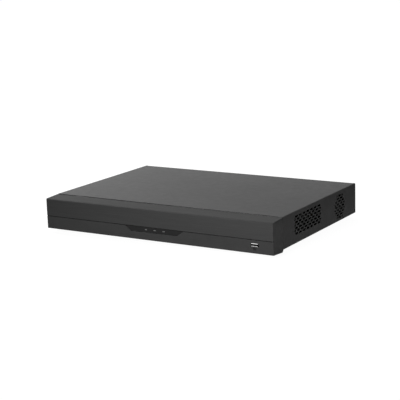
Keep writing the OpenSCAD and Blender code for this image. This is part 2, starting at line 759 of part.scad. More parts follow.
// Each drive's two leads, which turn back between the drives to the main board
module drive_leads() in_frame() color("firebrick") for (i = [0, 1], link = links) {
    out = (i == 0) ? 1 : -1;
    end_x = drives_x[i] + (i == 0 ? drive_l : 0);
    plug_x = end_x + out * link_plug[0];
    y = drive_y + (i == 0 ? link[0] : drive_w - link[0]);
    lane = (i == 0) ? link[1] : links[0][1] + links[1][1] - link[1];
    translate([(end_x + plug_x) / 2, y, link_z]) cube(link_plug, center = true);
    turn = [plug_x + out * (lane - link_turn), y + link_turn];
    translate([0, 0, link_z - link_h / 2]) linear_extrude(link_h) strip(concat(
        [[plug_x, y]], arc(turn, link_turn, -90, out > 0 ? 0 : -180), [[plug_x + out * lane, board_y + header_inset]]), link_t);
}

// ---- Drives ----

module drive_place(i) translate([drives_x[i] + drive_l / 2, drive_y + drive_w / 2, drive_z]) rotate(i * 180) children();

module drive_casting(i) drive_place(i) difference() {
    linear_extrude(drive_h - drive_lid_t) round_rect(drive_l, drive_w, 3);
    translate([drive_pcb_x, 0, 0]) cube([drive_pcb[0] + 1, drive_pcb[1] + 1, 2 * (drive_pcb_t + drive_pcb_gap)], center = true);
    translate([drive_l / 2, drive_plug_y, 0])
        cube([2 * drive_plug_d + 1, drive_plug_w + 1, 2 * (drive_plug_h + drive_pcb_gap)], center = true);
    rotate(-i * 180) for (x = drive_holes_x, y = drive_holes_y)
        translate([x - drive_l / 2, y, -touch]) cylinder(r = screw_r - 0.2, h = drive_tap);
    for (side = [-1, 1], x = [-60, 0, 41]) translate([x, side * drive_w / 2, 6.35]) rotate([90, 0, 0])
        cylinder(r = screw_r, h = 8, center = true);
}

module drive_lid(i) drive_place(i) translate([0, 0, drive_h - drive_lid_t]) difference() {
    linear_extrude(drive_lid_t) round_rect(drive_l - 3, drive_w - 3, 4);
    translate([-drive_l / 2 + platter_r + 8, 0, drive_lid_t - 0.4]) tube(platter_r - 3, platter_r - 6, 0, 1);
    translate([drive_l / 2 - 26, -16, drive_lid_t - 0.4]) tube(16, 13, 0, 1);
}

module drive_pcb_shape(i) drive_place(i) translate([drive_pcb_x, 0, drive_pcb_gap])
    linear_extrude(drive_pcb_t) square(drive_pcb, center = true);

module drive_connectors() in_frame() color("#1a1a1a") for (i = [0, 1]) drive_place(i)
    translate([(drive_l - drive_plug_d) / 2, drive_plug_y, drive_pcb_gap + (drive_plug_h - 0.3) / 2])
    cube([drive_plug_d, drive_plug_w, drive_plug_h - 0.3], center = true);

module drive_a_casting() in_frame() color("darkgray") drive_casting(0);
module drive_b_casting() in_frame() color("darkgray") drive_casting(1);
module drive_a_lid() in_frame() color("silver") drive_lid(0);
module drive_b_lid() in_frame() color("silver") drive_lid(1);
module drive_a_board() in_frame() color("darkgreen") drive_pcb_shape(0);
module drive_b_board() in_frame() color("darkgreen") drive_pcb_shape(1);

module drive_screws() in_frame() color("silver") drive_holes()
    translate([0, 0, drive_z - sheet]) mirror([0, 0, 1]) pan_screw(sheet + 4, screw_r - 0.3);

// ---- Main board ----

module board_outline() difference() {
    translate([-board_w / 2, board_y]) square([board_w, board_d]);
    translate([notch_x, board_y - 1]) square([board_w, notch_y - board_y + 1]);
    for (p = standoffs) translate(p) circle(r = screw_r + screw_gap);
}

module main_board() in_frame() color("darkgreen") translate([0, 0, z_board]) linear_extrude(pcb_t) board_outline();

module board_standoffs() in_frame() color("goldenrod") for (p = standoffs)
    translate([p[0], p[1], 0]) tube(standoff_r, screw_r, z_floor, z_board);

module board_screws() in_frame() color("silver") for (p = standoffs)
    translate([p[0], p[1], z_parts]) pan_screw(pcb_t + standoff_h - 1, screw_r - 0.1, 2.4, 1.6);

module processor() in_frame() color("#1a1a1a") translate([chip_at[0], chip_at[1], z_parts + chip[2] / 2]) cube(chip, center = true);

module heat_sink() in_frame() color("silver") translate([chip_at[0], chip_at[1], z_parts + chip[2]]) {
    translate([-sink[0] / 2, -sink[1] / 2, 0]) cube([sink[0], sink[1], sink_base]);
    for (i = [0 : sink_fins - 1]) translate([-sink[0] / 2 + i * (sink[0] - sink_fin_t) / (sink_fins - 1), -sink[1] / 2, sink_base - touch])
        cube([sink_fin_t, sink[1], sink[2] - sink_base + touch]);
}

module capacitors() in_frame() color("midnightblue") for (p = capacitors_at)
    translate([p[0], p[1], z_parts]) difference() {
        cylinder(r = capacitor_r, h = capacitor_h);
        translate([0, 0, capacitor_h * 0.12]) tube(capacitor_r + 1, capacitor_r - 0.4, 0, 0.8);
    }

// Coin cell lying in its holder
module clock_battery() in_frame() color("silver") translate([battery_at[0], battery_at[1], z_parts]) {
    cylinder(r = 10, h = 3.2);
    difference() {
        cylinder(r = 11.6, h = 2);
        translate([0, 0, -1]) cylinder(r = 9.9, h = 4);
    }
}

// Sockets that take the drives' leads, the ribbon and the fan's lead
module lead_sockets() in_frame() color("ivory") {
    for (i = [0, 1], lane = [links[0][1], links[1][1]]) {
        out = (i == 0) ? 1 : -1;
        x = drives_x[i] + (i == 0 ? drive_l : 0) + out * (link_plug[0] + lane);
        translate([x - lead_socket[0] / 2, board_y + header_inset, z_parts]) cube(lead_socket);
    }
    translate([ribbon_x, ribbon_end_y, z_parts + ribbon_header[2] / 2]) cube(ribbon_header, center = true);
    translate([notch_x - fan_lead_in - 6, fan_y - fan_size / 2 - 6, z_parts]) cube([6, 8, 6]);
}

// ---- Fan ----

// Turns a solid's +Z to +X and puts it on the fan's axis, starting at the fan's inner face
module at_fan() translate([fan_x, fan_y, fan_z]) rotate([0, 90, 0]) children();

module fan_frame() in_frame() color("#141415") at_fan() difference() {
    union() {
        difference() {
            union() {
                for (z = [0, fan_t - fan_flange]) translate([0, 0, z]) linear_extrude(fan_flange) round_rect(fan_size, fan_size, 2.5);
                cylinder(r = duct_r + 1.1, h = fan_t);
            }
            translate([0, 0, -1]) cylinder(r = duct_r, h = fan_t + 2);
        }
        for (a = [0 : 3]) rotate(90 * a + 20) translate([0, -strut_t / 2, 0]) cube([duct_r + 0.5, strut_t, strut_t]);
        cylinder(r = hub_r, h = strut_t);
        cylinder(r = tube_r, h = bearing_l);
    }
    translate([0, 0, 1]) cylinder(r = shaft_r + run_gap, h = fan_t);
    fan_corners() translate([0, 0, -1]) cylinder(r = fan_hole_r, h = fan_t + 2);
}

// Four wound poles round the bearing tube
module fan_stator() in_frame() color("chocolate") at_fan() {
    tube(tube_r + 2, tube_r + 0.1, strut_t, bearing_l - 1.5);
    for (a = [0 : 3]) rotate(90 * a) translate([tube_r + 1.5, -2, strut_t + 1]) cube([hub_r - hub_wall - 1 - tube_r - 1.5, 4, bearing_l - strut_t - 4]);
}

// Outline of a blade seen from the fan's rim: an arc from the leading to the trailing edge
module blade_section() strip(arc([-8.6, strut_t + 1.6], blade_curve_r, 0, 62, 10), blade_t);

module fan_rotor() in_frame() color("#1d1d1f") at_fan() {
    difference() {
        translate([0, 0, strut_t + 0.8]) cylinder(r = hub_r, h = fan_t - strut_t - 1.8);
        translate([0, 0, strut_t]) cylinder(r = hub_r - hub_wall, h = fan_t - strut_t - 1 - hub_wall);
    }
    translate([0, 0, 1.4]) cylinder(r = shaft_r, h = fan_t - 3);
    intersection() {
        tube(duct_r - tip_gap, hub_r - hub_wall / 2, 0, fan_t);
        for (i = [0 : blades - 1]) rotate(i * 360 / blades) translate([hub_r - hub_wall, 0, 0]) rotate([90, 0, 90]) linear_extrude(duct_r) blade_section();
    }
}

module fan_screws() in_frame() color("silver") at_fan() fan_corners()
    mirror([0, 0, 1]) pan_screw(fan_t + sheet - 0.1, screw_r, screw_head_r, fan_screw_head_h);

// Flat lead from the fan's corner to its socket on the main board
module fan_lead() in_frame() color("gold") {
    y = fan_y - fan_size / 2 + 3;
    x = notch_x - fan_lead_in;
    bend = 2.5;
    translate([0, 0, z_parts + 1.5]) linear_extrude(3) strip(concat(
        [[fan_x, y]], arc([fan_x - bend - 0.5, y - bend], bend, 90, 180),
        arc([fan_x - 3 * bend - 0.5, y - bend], bend, 360, 270), [[x, y - 2 * bend]]), 0.9);
}

// ---- Rear sockets ----

module bnc_places() for (x = bnc_x, z = bnc_z) translate([x, 0, z]) face_rear() children();

// Each block carries the two sockets of its column and stands on the main board
module bnc_housings() in_frame() color("#1b1b1d") for (x = bnc_x) difference() {
    translate([x - bnc_box[0] / 2, inner_y - bnc_box[1], z_parts]) cube([bnc_box[0], bnc_box[1], bnc_z[1] + bnc_collar_r - z_parts]);
    for (z = bnc_z) translate([x, 0, z]) face_rear() translate([0, 0, inner_y - bnc_shank]) cylinder(r = bnc_r + 0.05, h = bnc_shank + 1);
}

module bnc_barrels() in_frame() color("silver") bnc_places() {
    difference() {
        union() {
            translate([0, 0, inner_y - bnc_shank]) cylinder(r = bnc_r, h = bnc_tip - inner_y + bnc_shank);
            translate([0, 0, inner_y]) cylinder(r = bnc_collar_r, h = case_d + bnc_collar - inner_y);
        }
        translate([0, 0, bnc_floor]) cylinder(r = bnc_bore_r, h = bnc_tip);
    }
    for (side = [-1, 1]) translate([side * (bnc_bore_r + 0.3), 0, bnc_tip - bnc_lug_back]) rotate([0, side * 90, 0])
        cylinder(r = bnc_lug_r, h = bnc_lug_reach - bnc_bore_r - 0.3);
}

module bnc_insulators() in_frame() color("white") bnc_places() {
    tube(bnc_bore_r - 0.05, bnc_pin_r, bnc_floor, bnc_floor + 2);
    tube(bnc_core_r, bnc_pin_r, bnc_floor + 1, bnc_tip - 3);
}

module bnc_contacts() in_frame() color("gold") bnc_places() difference() {
    translate([0, 0, bnc_floor]) cylinder(r = bnc_pin_r, h = bnc_tip - 3.4 - bnc_floor);
    translate([0, 0, bnc_tip - 9]) cylinder(r = bnc_pin_r - 0.35, h = 9);
}

module rca_places() for (z = rca_z) translate([rca_x, 0, z]) face_rear() children();

module audio_housing() in_frame() color("#1b1b1d") difference() {
    translate([rca_x - rca_box[0] / 2, inner_y - rca_box[1], z_parts]) cube([rca_box[0], rca_box[1], rca_z[1] + rca_collar_r + 1 - z_parts]);
    rca_places() translate([0, 0, inner_y - 4]) cylinder(r = rca_r, h = 5);
}

module audio_shells() in_frame() color("silver") rca_places() difference() {
    union() {
        translate([0, 0, inner_y - 4]) cylinder(r = rca_r, h = rca_tip - inner_y + 4);
        translate([0, 0, inner_y]) cylinder(r = rca_collar_r, h = case_d + 0.8 - inner_y);
    }
    translate([0, 0, inner_y - 3]) cylinder(r = rca_r - 0.5, h = rca_tip);
}

module audio_insulators() in_frame() color("crimson") rca_places()
    tube(rca_r - 0.55, rca_bore_r, inner_y - 3, rca_tip - 0.3);

// Outline of a D-shaped shell in (X, Z), widened by gap
module d_outline(gap) {
    w = d_size[0] + 2 * gap;
    h = d_size[1] + 2 * gap;
    polygon([[-w / 2, h / 2], [w / 2, h / 2], [w / 2 - d_slope, -h / 2], [-w / 2 + d_slope, -h / 2]]);
}

module vga_shell() in_frame() color("silver") translate([vga_x, 0, vga_z]) difference() {
    union() {
        along_y(panel_y + touch, case_d + vga_reach - panel_y) d_outline(0);
        along_y(panel_y, 0.8) difference() {
            square([2 * vga_spread + 6, 12.4], center = true);
            for (x = [-vga_spread, vga_spread]) translate([x, 0]) circle(r = screw_r + screw_gap);
        }
    }
    along_y(panel_y - 1, case_d + vga_reach) d_outline(-0.5);
}

// The insulator has a grid of fifteen small holes
module vga_insulator() in_frame() color("royalblue") translate([vga_x, 0, vga_z]) {
    difference() {
        union() {
            along_y(inner_y - 12, 13 - touch) translate([0, -0.4]) square([d_size[0] - 1.6 - 2 * d_slope, d_size[1] - 1.6], center = true);
            along_y(panel_y - touch, case_d + vga_reach - panel_y - 0.8) d_outline(-0.7);
        }
        along_y(panel_y + 1, 20) for (row = [-1, 0, 1], i = [-2 : 2])
            translate([(i + (row == 0 ? 0.5 : 0) - 0.25) * 2.3, row * 1.98]) circle(r = 0.5);
    }
    along_y(inner_y - 12, 9) translate([0, (z_parts - vga_z) / 2]) square([20, vga_z - z_parts], center = true);
}

module vga_jackscrews() in_frame() color("silver") for (x = [-vga_spread, vga_spread])
    translate([vga_x + x, panel_y + 0.8, vga_z]) face_rear() difference() {
        union() {
            cylinder(r = 2.75, h = 4.5, $fn = 6);
            translate([0, 0, -4]) cylinder(r = screw_r, h = 4 + touch);
        }
        translate([0, 0, -1]) cylinder(r = jack_bore_r, h = 6);
    }

// Outline of an HDMI socket in (X, Z)
module hdmi_outline(gap) {
    w = hdmi_size[0] / 2 + gap;
    h = hdmi_size[1] / 2 + gap;
    polygon([[-w, h], [w, h], [w, -h + 2.4], [w - 2, -h], [-w + 2, -h], [-w, -h + 2.4]]);
}

module hdmi_shell() in_frame() color("silver") translate([hdmi_x, 0, hdmi_z]) difference() {
    along_y(case_d - hdmi_l, hdmi_l) hdmi_outline(0);
    along_y(case_d - hdmi_l + 0.4, hdmi_l) hdmi_outline(-0.4);
}

module hdmi_tongue() in_frame() color("#1b1b1d") translate([hdmi_x, 0, hdmi_z]) {
    along_y(case_d - hdmi_l + 0.4, 2) hdmi_outline(-0.45);
    along_y(case_d - hdmi_l + 2, hdmi_l - 3) translate([0, 0.4]) square([10.6, 1.1], center = true);
}

module rear_usb_place() translate([rear_usb_x, case_d, rear_usb_z]) mirror([0, 1, 0]) children();

module rear_usb_shell() in_frame() color("silver") {
    rear_usb_place() usb_shell(rear_usb_l);
    translate([rear_usb_x - 5, case_d - rear_usb_l, z_parts]) cube([10, rear_usb_l - 3, rear_usb_z - usb_h / 2 - z_parts + touch]);
}

module rear_usb_tongue() in_frame() color("ghostwhite") rear_usb_place() usb_insert(rear_usb_l);

// Outline of a network socket's mouth: a square opening with a stepped keyway below
module lan_outline() translate([0, lan_mouth_z]) {
    square(lan_mouth, center = true);
    translate([0, -lan_mouth[1] / 2 - 0.7]) square([6, 1.4 + touch], center = true);
    translate([0, -lan_mouth[1] / 2 - 2]) square([4, 1.4], center = true);
}

module network_body() in_frame() color("#1b1b1d") translate([lan_x, 0, z_parts + lan[2] / 2]) difference() {
    along_y(case_d - lan[1] + lan_skin, lan[1] - lan_skin - 0.3) square([lan[0] - 2 * lan_skin, lan[2] - 2 * lan_skin], center = true);
    along_y(case_d - lan_depth, lan_depth + 1) lan_outline();
}

module network_shield() in_frame() color("silver") translate([lan_x, 0, z_parts + lan[2] / 2]) difference() {
    along_y(case_d - lan[1], lan[1]) square([lan[0], lan[2]], center = true);
    along_y(case_d - lan[1] + lan_skin, lan[1]) square([lan[0] - 2 * lan_skin, lan[2] - 2 * lan_skin], center = true);
}

// Fixed half of the screw terminal
module terminal_header() in_frame() color("forestgreen") translate([terminal_x, 0, terminal_z]) {
    difference() {
        along_y(case_d - terminal_d, terminal_d) square([terminal_w, terminal_h], center = true);
        along_y(case_d - plug_depth - 1, terminal_d) square([plug_tongue[0] + 2 * plug_gap, plug_tongue[1] + 2 * plug_gap], center = true);
    }
    translate([-terminal_w / 2 + 1, case_d - terminal_d, z_parts - terminal_z])
        cube([terminal_w - 2, terminal_d - 4, terminal_z - terminal_h / 2 - z_parts + touch]);
}

module terminal_ways_x() for (i = [0 : terminal_ways - 1]) translate([(i - (terminal_ways - 1) / 2) * terminal_pitch, 0, 0]) children();

// Loose half of the screw terminal, with a wire hole and a screw for each way
module terminal_plug() in_frame() color("limegreen") translate([terminal_x, 0, terminal_z]) difference() {
    union() {
        along_y(case_d - plug_depth, plug_depth + plug_gap + touch) square(plug_tongue, center = true);
        along_y(case_d + plug_gap, plug_body_d) translate([0, plug_rise / 2]) square([terminal_w, terminal_h + plug_rise], center = true);
    }
    terminal_ways_x() {
        along_y(case_d + 2, plug_body_d) translate([0, -1]) square([2.6, 3], center = true);
        translate([0, plug_screw_y, terminal_h / 2 + plug_rise - plug_screw_sink - 3]) cylinder(r = plug_screw_r + 0.15, h = 9);
    }
    for (side = [-1, 1]) translate([side * terminal_w / 2, case_d + plug_gap + plug_body_d / 2, 0]) cube([1.2, 5, 4], center = true);
}

module terminal_screws() in_frame() color("silver") translate([terminal_x, 0, terminal_z]) terminal_ways_x()
    translate([0, plug_screw_y, terminal_h / 2 + plug_rise - plug_screw_sink - 3]) difference() {
        cylinder(r = plug_screw_r, h = 3);
        translate([-2, -0.3, 2.3]) cube([4, 0.6, 2]);
    }

module power_jack() in_frame() color("#1b1b1d") translate([dc_x, 0, dc_z]) {
    difference() {
        union() {
            translate([-4.5, inner_y - 12, z_parts - dc_z]) cube([9, 12, 11.4]);
            face_rear() translate([0, 0, inner_y - touch]) cylinder(r = dc_bore_r + 1.5, h = case_d + 0.6 - inner_y);
        }
        face_rear() translate([0, 0, inner_y - 8]) cylinder(r = dc_bore_r, h = 12);
    }
    face_rear() translate([0, 0, inner_y - 8 - touch]) cylinder(r = 1, h = 8);
}

module ground_screw() in_frame() color("silver") translate([ground_x, panel_y, ground_z]) face_rear() pan_screw(5, screw_r, 3.2, 2.2);

module cover_screws() in_frame() color("silver") for (x = lip_screws_x) translate([x, case_d, lip_screw_z]) face_rear() pan_screw(5);

// ---- Switch ----

module switch_housing() in_frame() color("#151516") translate([switch_x, 0, switch_z]) difference() {
    union() {
        along_y(case_d - switch_body_d, switch_body_d) square([switch_w - 2, switch_h - 2], center = true);
        along_y(panel_y, switch_flange) round_rect(switch_w, switch_h, 1);
    }
    along_y(pivot_y - rocker_r - 1, 20) square([rocker_w + 2 * rocker_gap, 2 * (rocker_r + rocker_gap)], center = true);
    translate([0, pivot_y, 0]) rotate([0, 90, 0]) cylinder(r = pivot_r + run_gap, h = switch_w + 2, center = true);
}

// The rocker rests tilted, with its lower half out
module switch_rocker() in_frame() color("#1b1b1d") translate([switch_x, pivot_y, switch_z]) {
    rotate([rocker_tilt, 0, 0]) intersection() {
        rotate([0, 90, 0]) cylinder(r = rocker_r, h = rocker_w, center = true);
        along_x(rocker_w + 1) {
            rise = rocker_r * tan(rocker_tilt);
            polygon([[-rocker_r - 1, -rocker_r], [rocker_face + rise, -rocker_r], [rocker_face, 0], [rocker_face + rise, rocker_r], [-rocker_r - 1, rocker_r]]);
        }
    }
    rotate([0, 90, 0]) cylinder(r = pivot_r, h = rocker_w + 2 * rocker_gap + 1.4, center = true);
}

// ---- Feet ----

module rubber_feet() in_frame() color("#101011") foot_places() difference() {
    rotate_extrude() polygon(concat(
        [[0, 0]], arc([foot_r - 2.2, 1.2], 1.2, -90, -10), [[foot_r, foot_h - 0.6], [foot_r - 0.4, foot_h], [0, foot_h]]));
    translate([0, 0, -1]) cylinder(r = foot_bore_r, h = 1 + foot_sink);
    cylinder(r = screw_r + screw_gap, h = foot_h + 1);
}

module foot_screws() in_frame() color("silver") foot_places() translate([0, 0, foot_sink]) mirror([0, 0, 1]) pan_screw(foot_h - foot_sink + sheet + 2);

base_tray();
rear_panel();
top_cover();
front_bezel();
upper_panel();
indicator_window();
light_guide();
front_board();
indicator_lamps();
front_usb_shell();
front_usb_tongue();
rubber_feet();
foot_screws();
cover_screws();
drive_a_casting();
drive_a_lid();
drive_a_board();
drive_b_casting();
drive_b_lid();
drive_b_board();
drive_connectors();
drive_screws();
drive_leads();
front_ribbon();
main_board();
board_standoffs();
board_screws();
processor();
heat_sink();
capacitors();
clock_battery();
lead_sockets();
fan_frame();
fan_stator();
fan_rotor();
fan_screws();
fan_lead();
bnc_housings();
bnc_barrels();
bnc_insulators();
bnc_contacts();
audio_housing();
audio_shells();
audio_insulators();
vga_shell();
vga_insulator();
vga_jackscrews();
hdmi_shell();
hdmi_tongue();
rear_usb_shell();
rear_usb_tongue();
network_shield();
network_body();
terminal_header();
terminal_plug();
terminal_screws();
power_jack();
ground_screw();
switch_housing();
switch_rocker();
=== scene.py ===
import json
import math

import bmesh
import bpy
from mathutils import Matrix, Vector
from mathutils.bvhtree import BVHTree


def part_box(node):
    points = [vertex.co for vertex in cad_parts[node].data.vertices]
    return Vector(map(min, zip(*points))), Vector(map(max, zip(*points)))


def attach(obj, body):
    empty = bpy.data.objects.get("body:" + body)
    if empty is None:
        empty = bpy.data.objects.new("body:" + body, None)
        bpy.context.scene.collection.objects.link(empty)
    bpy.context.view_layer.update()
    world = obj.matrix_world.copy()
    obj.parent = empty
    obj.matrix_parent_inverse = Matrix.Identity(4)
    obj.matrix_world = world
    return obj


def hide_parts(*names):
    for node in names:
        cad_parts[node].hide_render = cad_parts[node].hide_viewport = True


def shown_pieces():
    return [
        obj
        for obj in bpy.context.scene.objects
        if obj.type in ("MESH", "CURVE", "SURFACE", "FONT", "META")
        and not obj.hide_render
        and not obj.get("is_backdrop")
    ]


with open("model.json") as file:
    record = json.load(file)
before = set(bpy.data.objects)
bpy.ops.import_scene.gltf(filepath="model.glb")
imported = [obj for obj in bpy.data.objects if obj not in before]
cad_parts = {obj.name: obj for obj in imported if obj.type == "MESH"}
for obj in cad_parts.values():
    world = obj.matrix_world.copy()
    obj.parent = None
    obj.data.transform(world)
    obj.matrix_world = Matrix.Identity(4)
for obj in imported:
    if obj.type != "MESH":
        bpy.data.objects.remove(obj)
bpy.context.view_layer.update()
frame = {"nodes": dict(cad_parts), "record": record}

MM = 0.001
NODES = frame["nodes"]
RECORD = frame["record"]
BODY_OF = {node: body for body, nodes in RECORD["behaviour"]["bodies"].items() for node in nodes}
SLOT_OF = {part["node"]: part["material_slot"] for part in RECORD["subparts"]}

# ---- The photograph's points, in its 400 by 400 frame ----

W = H = 400
LONG = max(W, H)

POINTS = {
    "front_top_left": (46.1, 198.6),
    "front_bottom_left": (47.6, 227.9),
    "front_top_right": (273.2, 223.0),
    "front_bottom_right": (273.5, 255.4),
    "cover_front_right": (282.2, 217.8),
    "cover_rear_left": (145.3, 165.4),
    "cover_rear_right": (355.5, 183.1),
    "window_top_left": (126.1, 224.6),
    "window_top_right": (183.8, 231.6),
    "front_usb": (253.9, 245.1),
    "lamp_left": (145.9, 229.6),
    "lamp_middle": (154.7, 230.6),
    "lamp_right": (163.6, 231.6),
    "drive_vent": (308.7, 219.2),
    "fan_vent": (339.9, 206.6),
}

# ---- The camera, fitted to the photograph's edges ----

CAMERA_AT = Vector((0.8731, -1.4308, 0.4101))
CAMERA_AZIMUTH = math.radians(31.65)
CAMERA_ELEVATION = math.radians(12.56)
CAMERA_ROLL = math.radians(-1.894)
CAMERA_LENS = 104.12
SENSOR = 36.0
NEAR_LIMIT = 0.05


def make_camera():
    """The photograph's camera, above the right front corner and a little rolled."""
    back = Vector((
        math.sin(CAMERA_AZIMUTH) * math.cos(CAMERA_ELEVATION),
        -math.cos(CAMERA_AZIMUTH) * math.cos(CAMERA_ELEVATION),
        math.sin(CAMERA_ELEVATION),
    ))
    level = Vector((math.cos(CAMERA_AZIMUTH), math.sin(CAMERA_AZIMUTH), 0.0))
    right = Matrix.Rotation(CAMERA_ROLL, 3, back) @ level
    up = back.cross(right)
    data = bpy.data.cameras.new("photo_camera")
    data.sensor_fit = "AUTO"
    data.sensor_width = SENSOR
    data.lens = CAMERA_LENS
    data.clip_start = NEAR_LIMIT
    camera = bpy.data.objects.new("photo_camera", data)
    bpy.context.scene.collection.objects.link(camera)
    turn = Matrix((right, up, back)).transposed().to_4x4()
    camera.matrix_world = Matrix.Translation(CAMERA_AT) @ turn
    bpy.context.scene.camera = camera
    return camera


CAMERA = make_camera()


def shown_at(place):
    """Where a place in the row frame shows, in the photograph's pixels."""
    seen = CAMERA.matrix_world.inverted() @ Vector(place)
    scale = CAMERA.data.lens / CAMERA.data.sensor_width * LONG / -seen.z
    x = W / 2 + seen.x * scale - CAMERA.data.shift_x * LONG
    y = H / 2 - seen.y * scale + CAMERA.data.shift_y * LONG
    return x, y


def surface_tree(objects):
    """A BVHTree of finished objects, with their modifiers."""
    graph = bpy.context.evaluated_depsgraph_get()
    corners, faces = [], []
    for obj in objects:
        mesh = obj.evaluated_get(graph).to_mesh()
        first = len(corners)
        corners += [obj.matrix_world @ vertex.co for vertex in mesh.vertices]
        faces += [[first + i for i in face.vertices] for face in mesh.polygons]
    return BVHTree.FromPolygons(corners, faces)


def on_surface(point, tree):
    """The place where the ray through an image point meets a surface, or passes nearest to it."""
    x, y = POINTS[point]
    camera = CAMERA.data
    along = Vector((
        x - W / 2 + camera.shift_x * LONG,
        H / 2 - y + camera.shift_y * LONG,
        -LONG * camera.lens / camera.sensor_width,
    ))
    start = CAMERA.matrix_world.translation
    along = (CAMERA.matrix_world.to_3x3() @ along).normalized()
    place = tree.ray_cast(start, along)[0]
    if place is None:
        place = tree.find_nearest(start - along * start.dot(along))[0]
    return place


# ---- Shader nodes ----

# Most of a noise texture's values lie between these.
NOISE_LOW = 0.3
NOISE_HIGH = 0.7


def linear(value):
    """One channel of a colour as a screen shows it, 0 to 255, in linear light."""
    value /= 255
    return value / 12.92 if value <= 0.04045 else ((value + 0.055) / 1.055) ** 2.4


def rgb(red, green=None, blue=None):
    """A colour as a screen shows it; one number makes a grey."""
    green = red if green is None else green
    blue = red if blue is None else blue
    return (linear(red), linear(green), linear(blue), 1.0)


def shaded(colour, factor):
    """A colour made darker or lighter."""
    return tuple(min(1.0, channel * factor) for channel in colour[:3]) + (1.0,)


class Finish:
    """A material under construction, whose patterns read Object coordinates."""

    def __init__(self, name, colour, roughness, metallic=0.0, specular=0.2):
        self.material = bpy.data.materials.new(name)
        self.material.use_nodes = True
        self.material.diffuse_color = colour
        self.tree = self.material.node_tree
        self.shader = self.tree.nodes["Principled BSDF"]
        self.shader.inputs["Base Color"].default_value = colour
        self.shader.inputs["Roughness"].default_value = roughness
        self.shader.inputs["Metallic"].default_value = metallic
        self.shader.inputs["Specular IOR Level"].default_value = specular
        self.place = self.tree.nodes.new("ShaderNodeTexCoord").outputs["Object"]
        self.colour = colour
        self.bumps = None

    def link(self, start, end):
        """Links one node's output to another's input."""
        self.tree.links.new(start, end)

    def stretched(self, scale):
        """Object coordinates scaled by axis, for patterns with a direction."""
        mapping = self.tree.nodes.new("ShaderNodeMapping")
        mapping.inputs["Scale"].default_value = scale
        self.link(self.place, mapping.inputs["Vector"])
        return mapping.outputs["Vector"]

    def noise(self, size, detail=2.0, place=None):
        """Noise whose spots are about size metres across."""
        node = self.tree.nodes.new("ShaderNodeTexNoise")
        node.inputs["Scale"].default_value = 1.0 / size
        node.inputs["Detail"].default_value = detail
        self.link(place or self.place, node.inputs["Vector"])
        return node.outputs["Fac"]

    def cells(self, size, feature="F1"):
        """Rounded cells about size metres across."""
        node = self.tree.nodes.new("ShaderNodeTexVoronoi")
        node.feature = feature
        node.inputs["Scale"].default_value = 1.0 / size
        self.link(self.place, node.inputs["Vector"])
        return node.outputs["Distance"]

    def ranged(self, value, low, high, start=0.0, end=1.0):
        """value taken from start..end to low..high."""
        node = self.tree.nodes.new("ShaderNodeMapRange")
        node.inputs["From Min"].default_value = start
        node.inputs["From Max"].default_value = end
        node.inputs["To Min"].default_value = low
        node.inputs["To Max"].default_value = high
        self.link(value, node.inputs["Value"])
        return node.outputs["Result"]

    def vary_roughness(self, value, low, high):
        """Roughness from low to high by a pattern."""
        roughness = self.ranged(value, low, high, NOISE_LOW, NOISE_HIGH)
        self.link(roughness, self.shader.inputs["Roughness"])

    def blend_colour(self, value, first, second, start=0.35, end=0.65):
        """Base colour from first to second as value goes from start to end."""
        ramp = self.tree.nodes.new("ShaderNodeValToRGB")
        ramp.color_ramp.elements[0].position = start
        ramp.color_ramp.elements[0].color = first
        ramp.color_ramp.elements[1].position = end
        ramp.color_ramp.elements[1].color = second
        self.link(value, ramp.inputs["Fac"])
        self.link(ramp.outputs["Color"], self.shader.inputs["Base Color"])

    def vary_colour(self, value, amount):
        """Base colour a little darker and lighter by a pattern."""
        darker = shaded(self.colour, 1 - amount)
        lighter = shaded(self.colour, 1 + amount)
        self.blend_colour(value, darker, lighter)

    def bump(self, height, depth, strength=1.0):
        """Relief of about depth metres, over any bump added before."""
        node = self.tree.nodes.new("ShaderNodeBump")
        node.inputs["Distance"].default_value = depth
        node.inputs["Strength"].default_value = strength
        self.link(height, node.inputs["Height"])
        if self.bumps:
            self.link(self.bumps, node.inputs["Normal"])
        self.bumps = node.outputs["Normal"]
        self.link(self.bumps, self.shader.inputs["Normal"])


# ---- The recorder's finishes ----

NICKEL = rgb(205, 203, 198)


def powder_coat(name, colour):
    """Powder coat on folded steel: an orange peel with a finer grain on it."""
    finish = Finish(name, colour, 0.6, specular=0.035)
    peel = finish.noise(1.6 * MM, 3.0)
    grain = finish.cells(0.55 * MM)
    finish.vary_colour(finish.noise(60 * MM, 2.0), 0.025)
    finish.vary_roughness(finish.noise(9 * MM), 0.56, 0.64)
    finish.bump(peel, 0.01 * MM, 0.2)
    finish.bump(grain, 0.006 * MM, 0.2)
    return finish.material


def moulded_plastic(name, colour, grain=0.35, roughness=0.5, specular=0.08):
    """Spark-eroded moulded plastic: an even fine grain."""
    finish = Finish(name, colour, roughness, specular=specular)
    finish.vary_colour(finish.noise(18 * MM, 3.0), 0.04)
    finish.vary_roughness(finish.noise(5 * MM), roughness - 0.06, roughness + 0.06)
    finish.bump(finish.noise(grain * MM, 2.0), 0.02 * MM, 0.6)
    return finish.material


def glossy_plastic(name, colour, roughness, specular=0.4):
    """Moulded plastic with a shine, as on connectors."""
    return moulded_plastic(name, colour, roughness=roughness, specular=specular)


def brushed_panel(name, colour):
    """Plastic with a fine brushing that runs along the recorder's width."""
    finish = Finish(name, colour, 0.5, specular=0.009)
    streaks = finish.noise(1.0, 3.0, finish.stretched((26.0, 2600.0, 2600.0)))
    long_streaks = finish.noise(1.0, 2.0, finish.stretched((7.0, 900.0, 900.0)))
    finish.vary_colour(streaks, 0.07)
    finish.vary_roughness(long_streaks, 0.4, 0.54)
    finish.bump(streaks, 0.02 * MM, 0.6)
    return finish.material


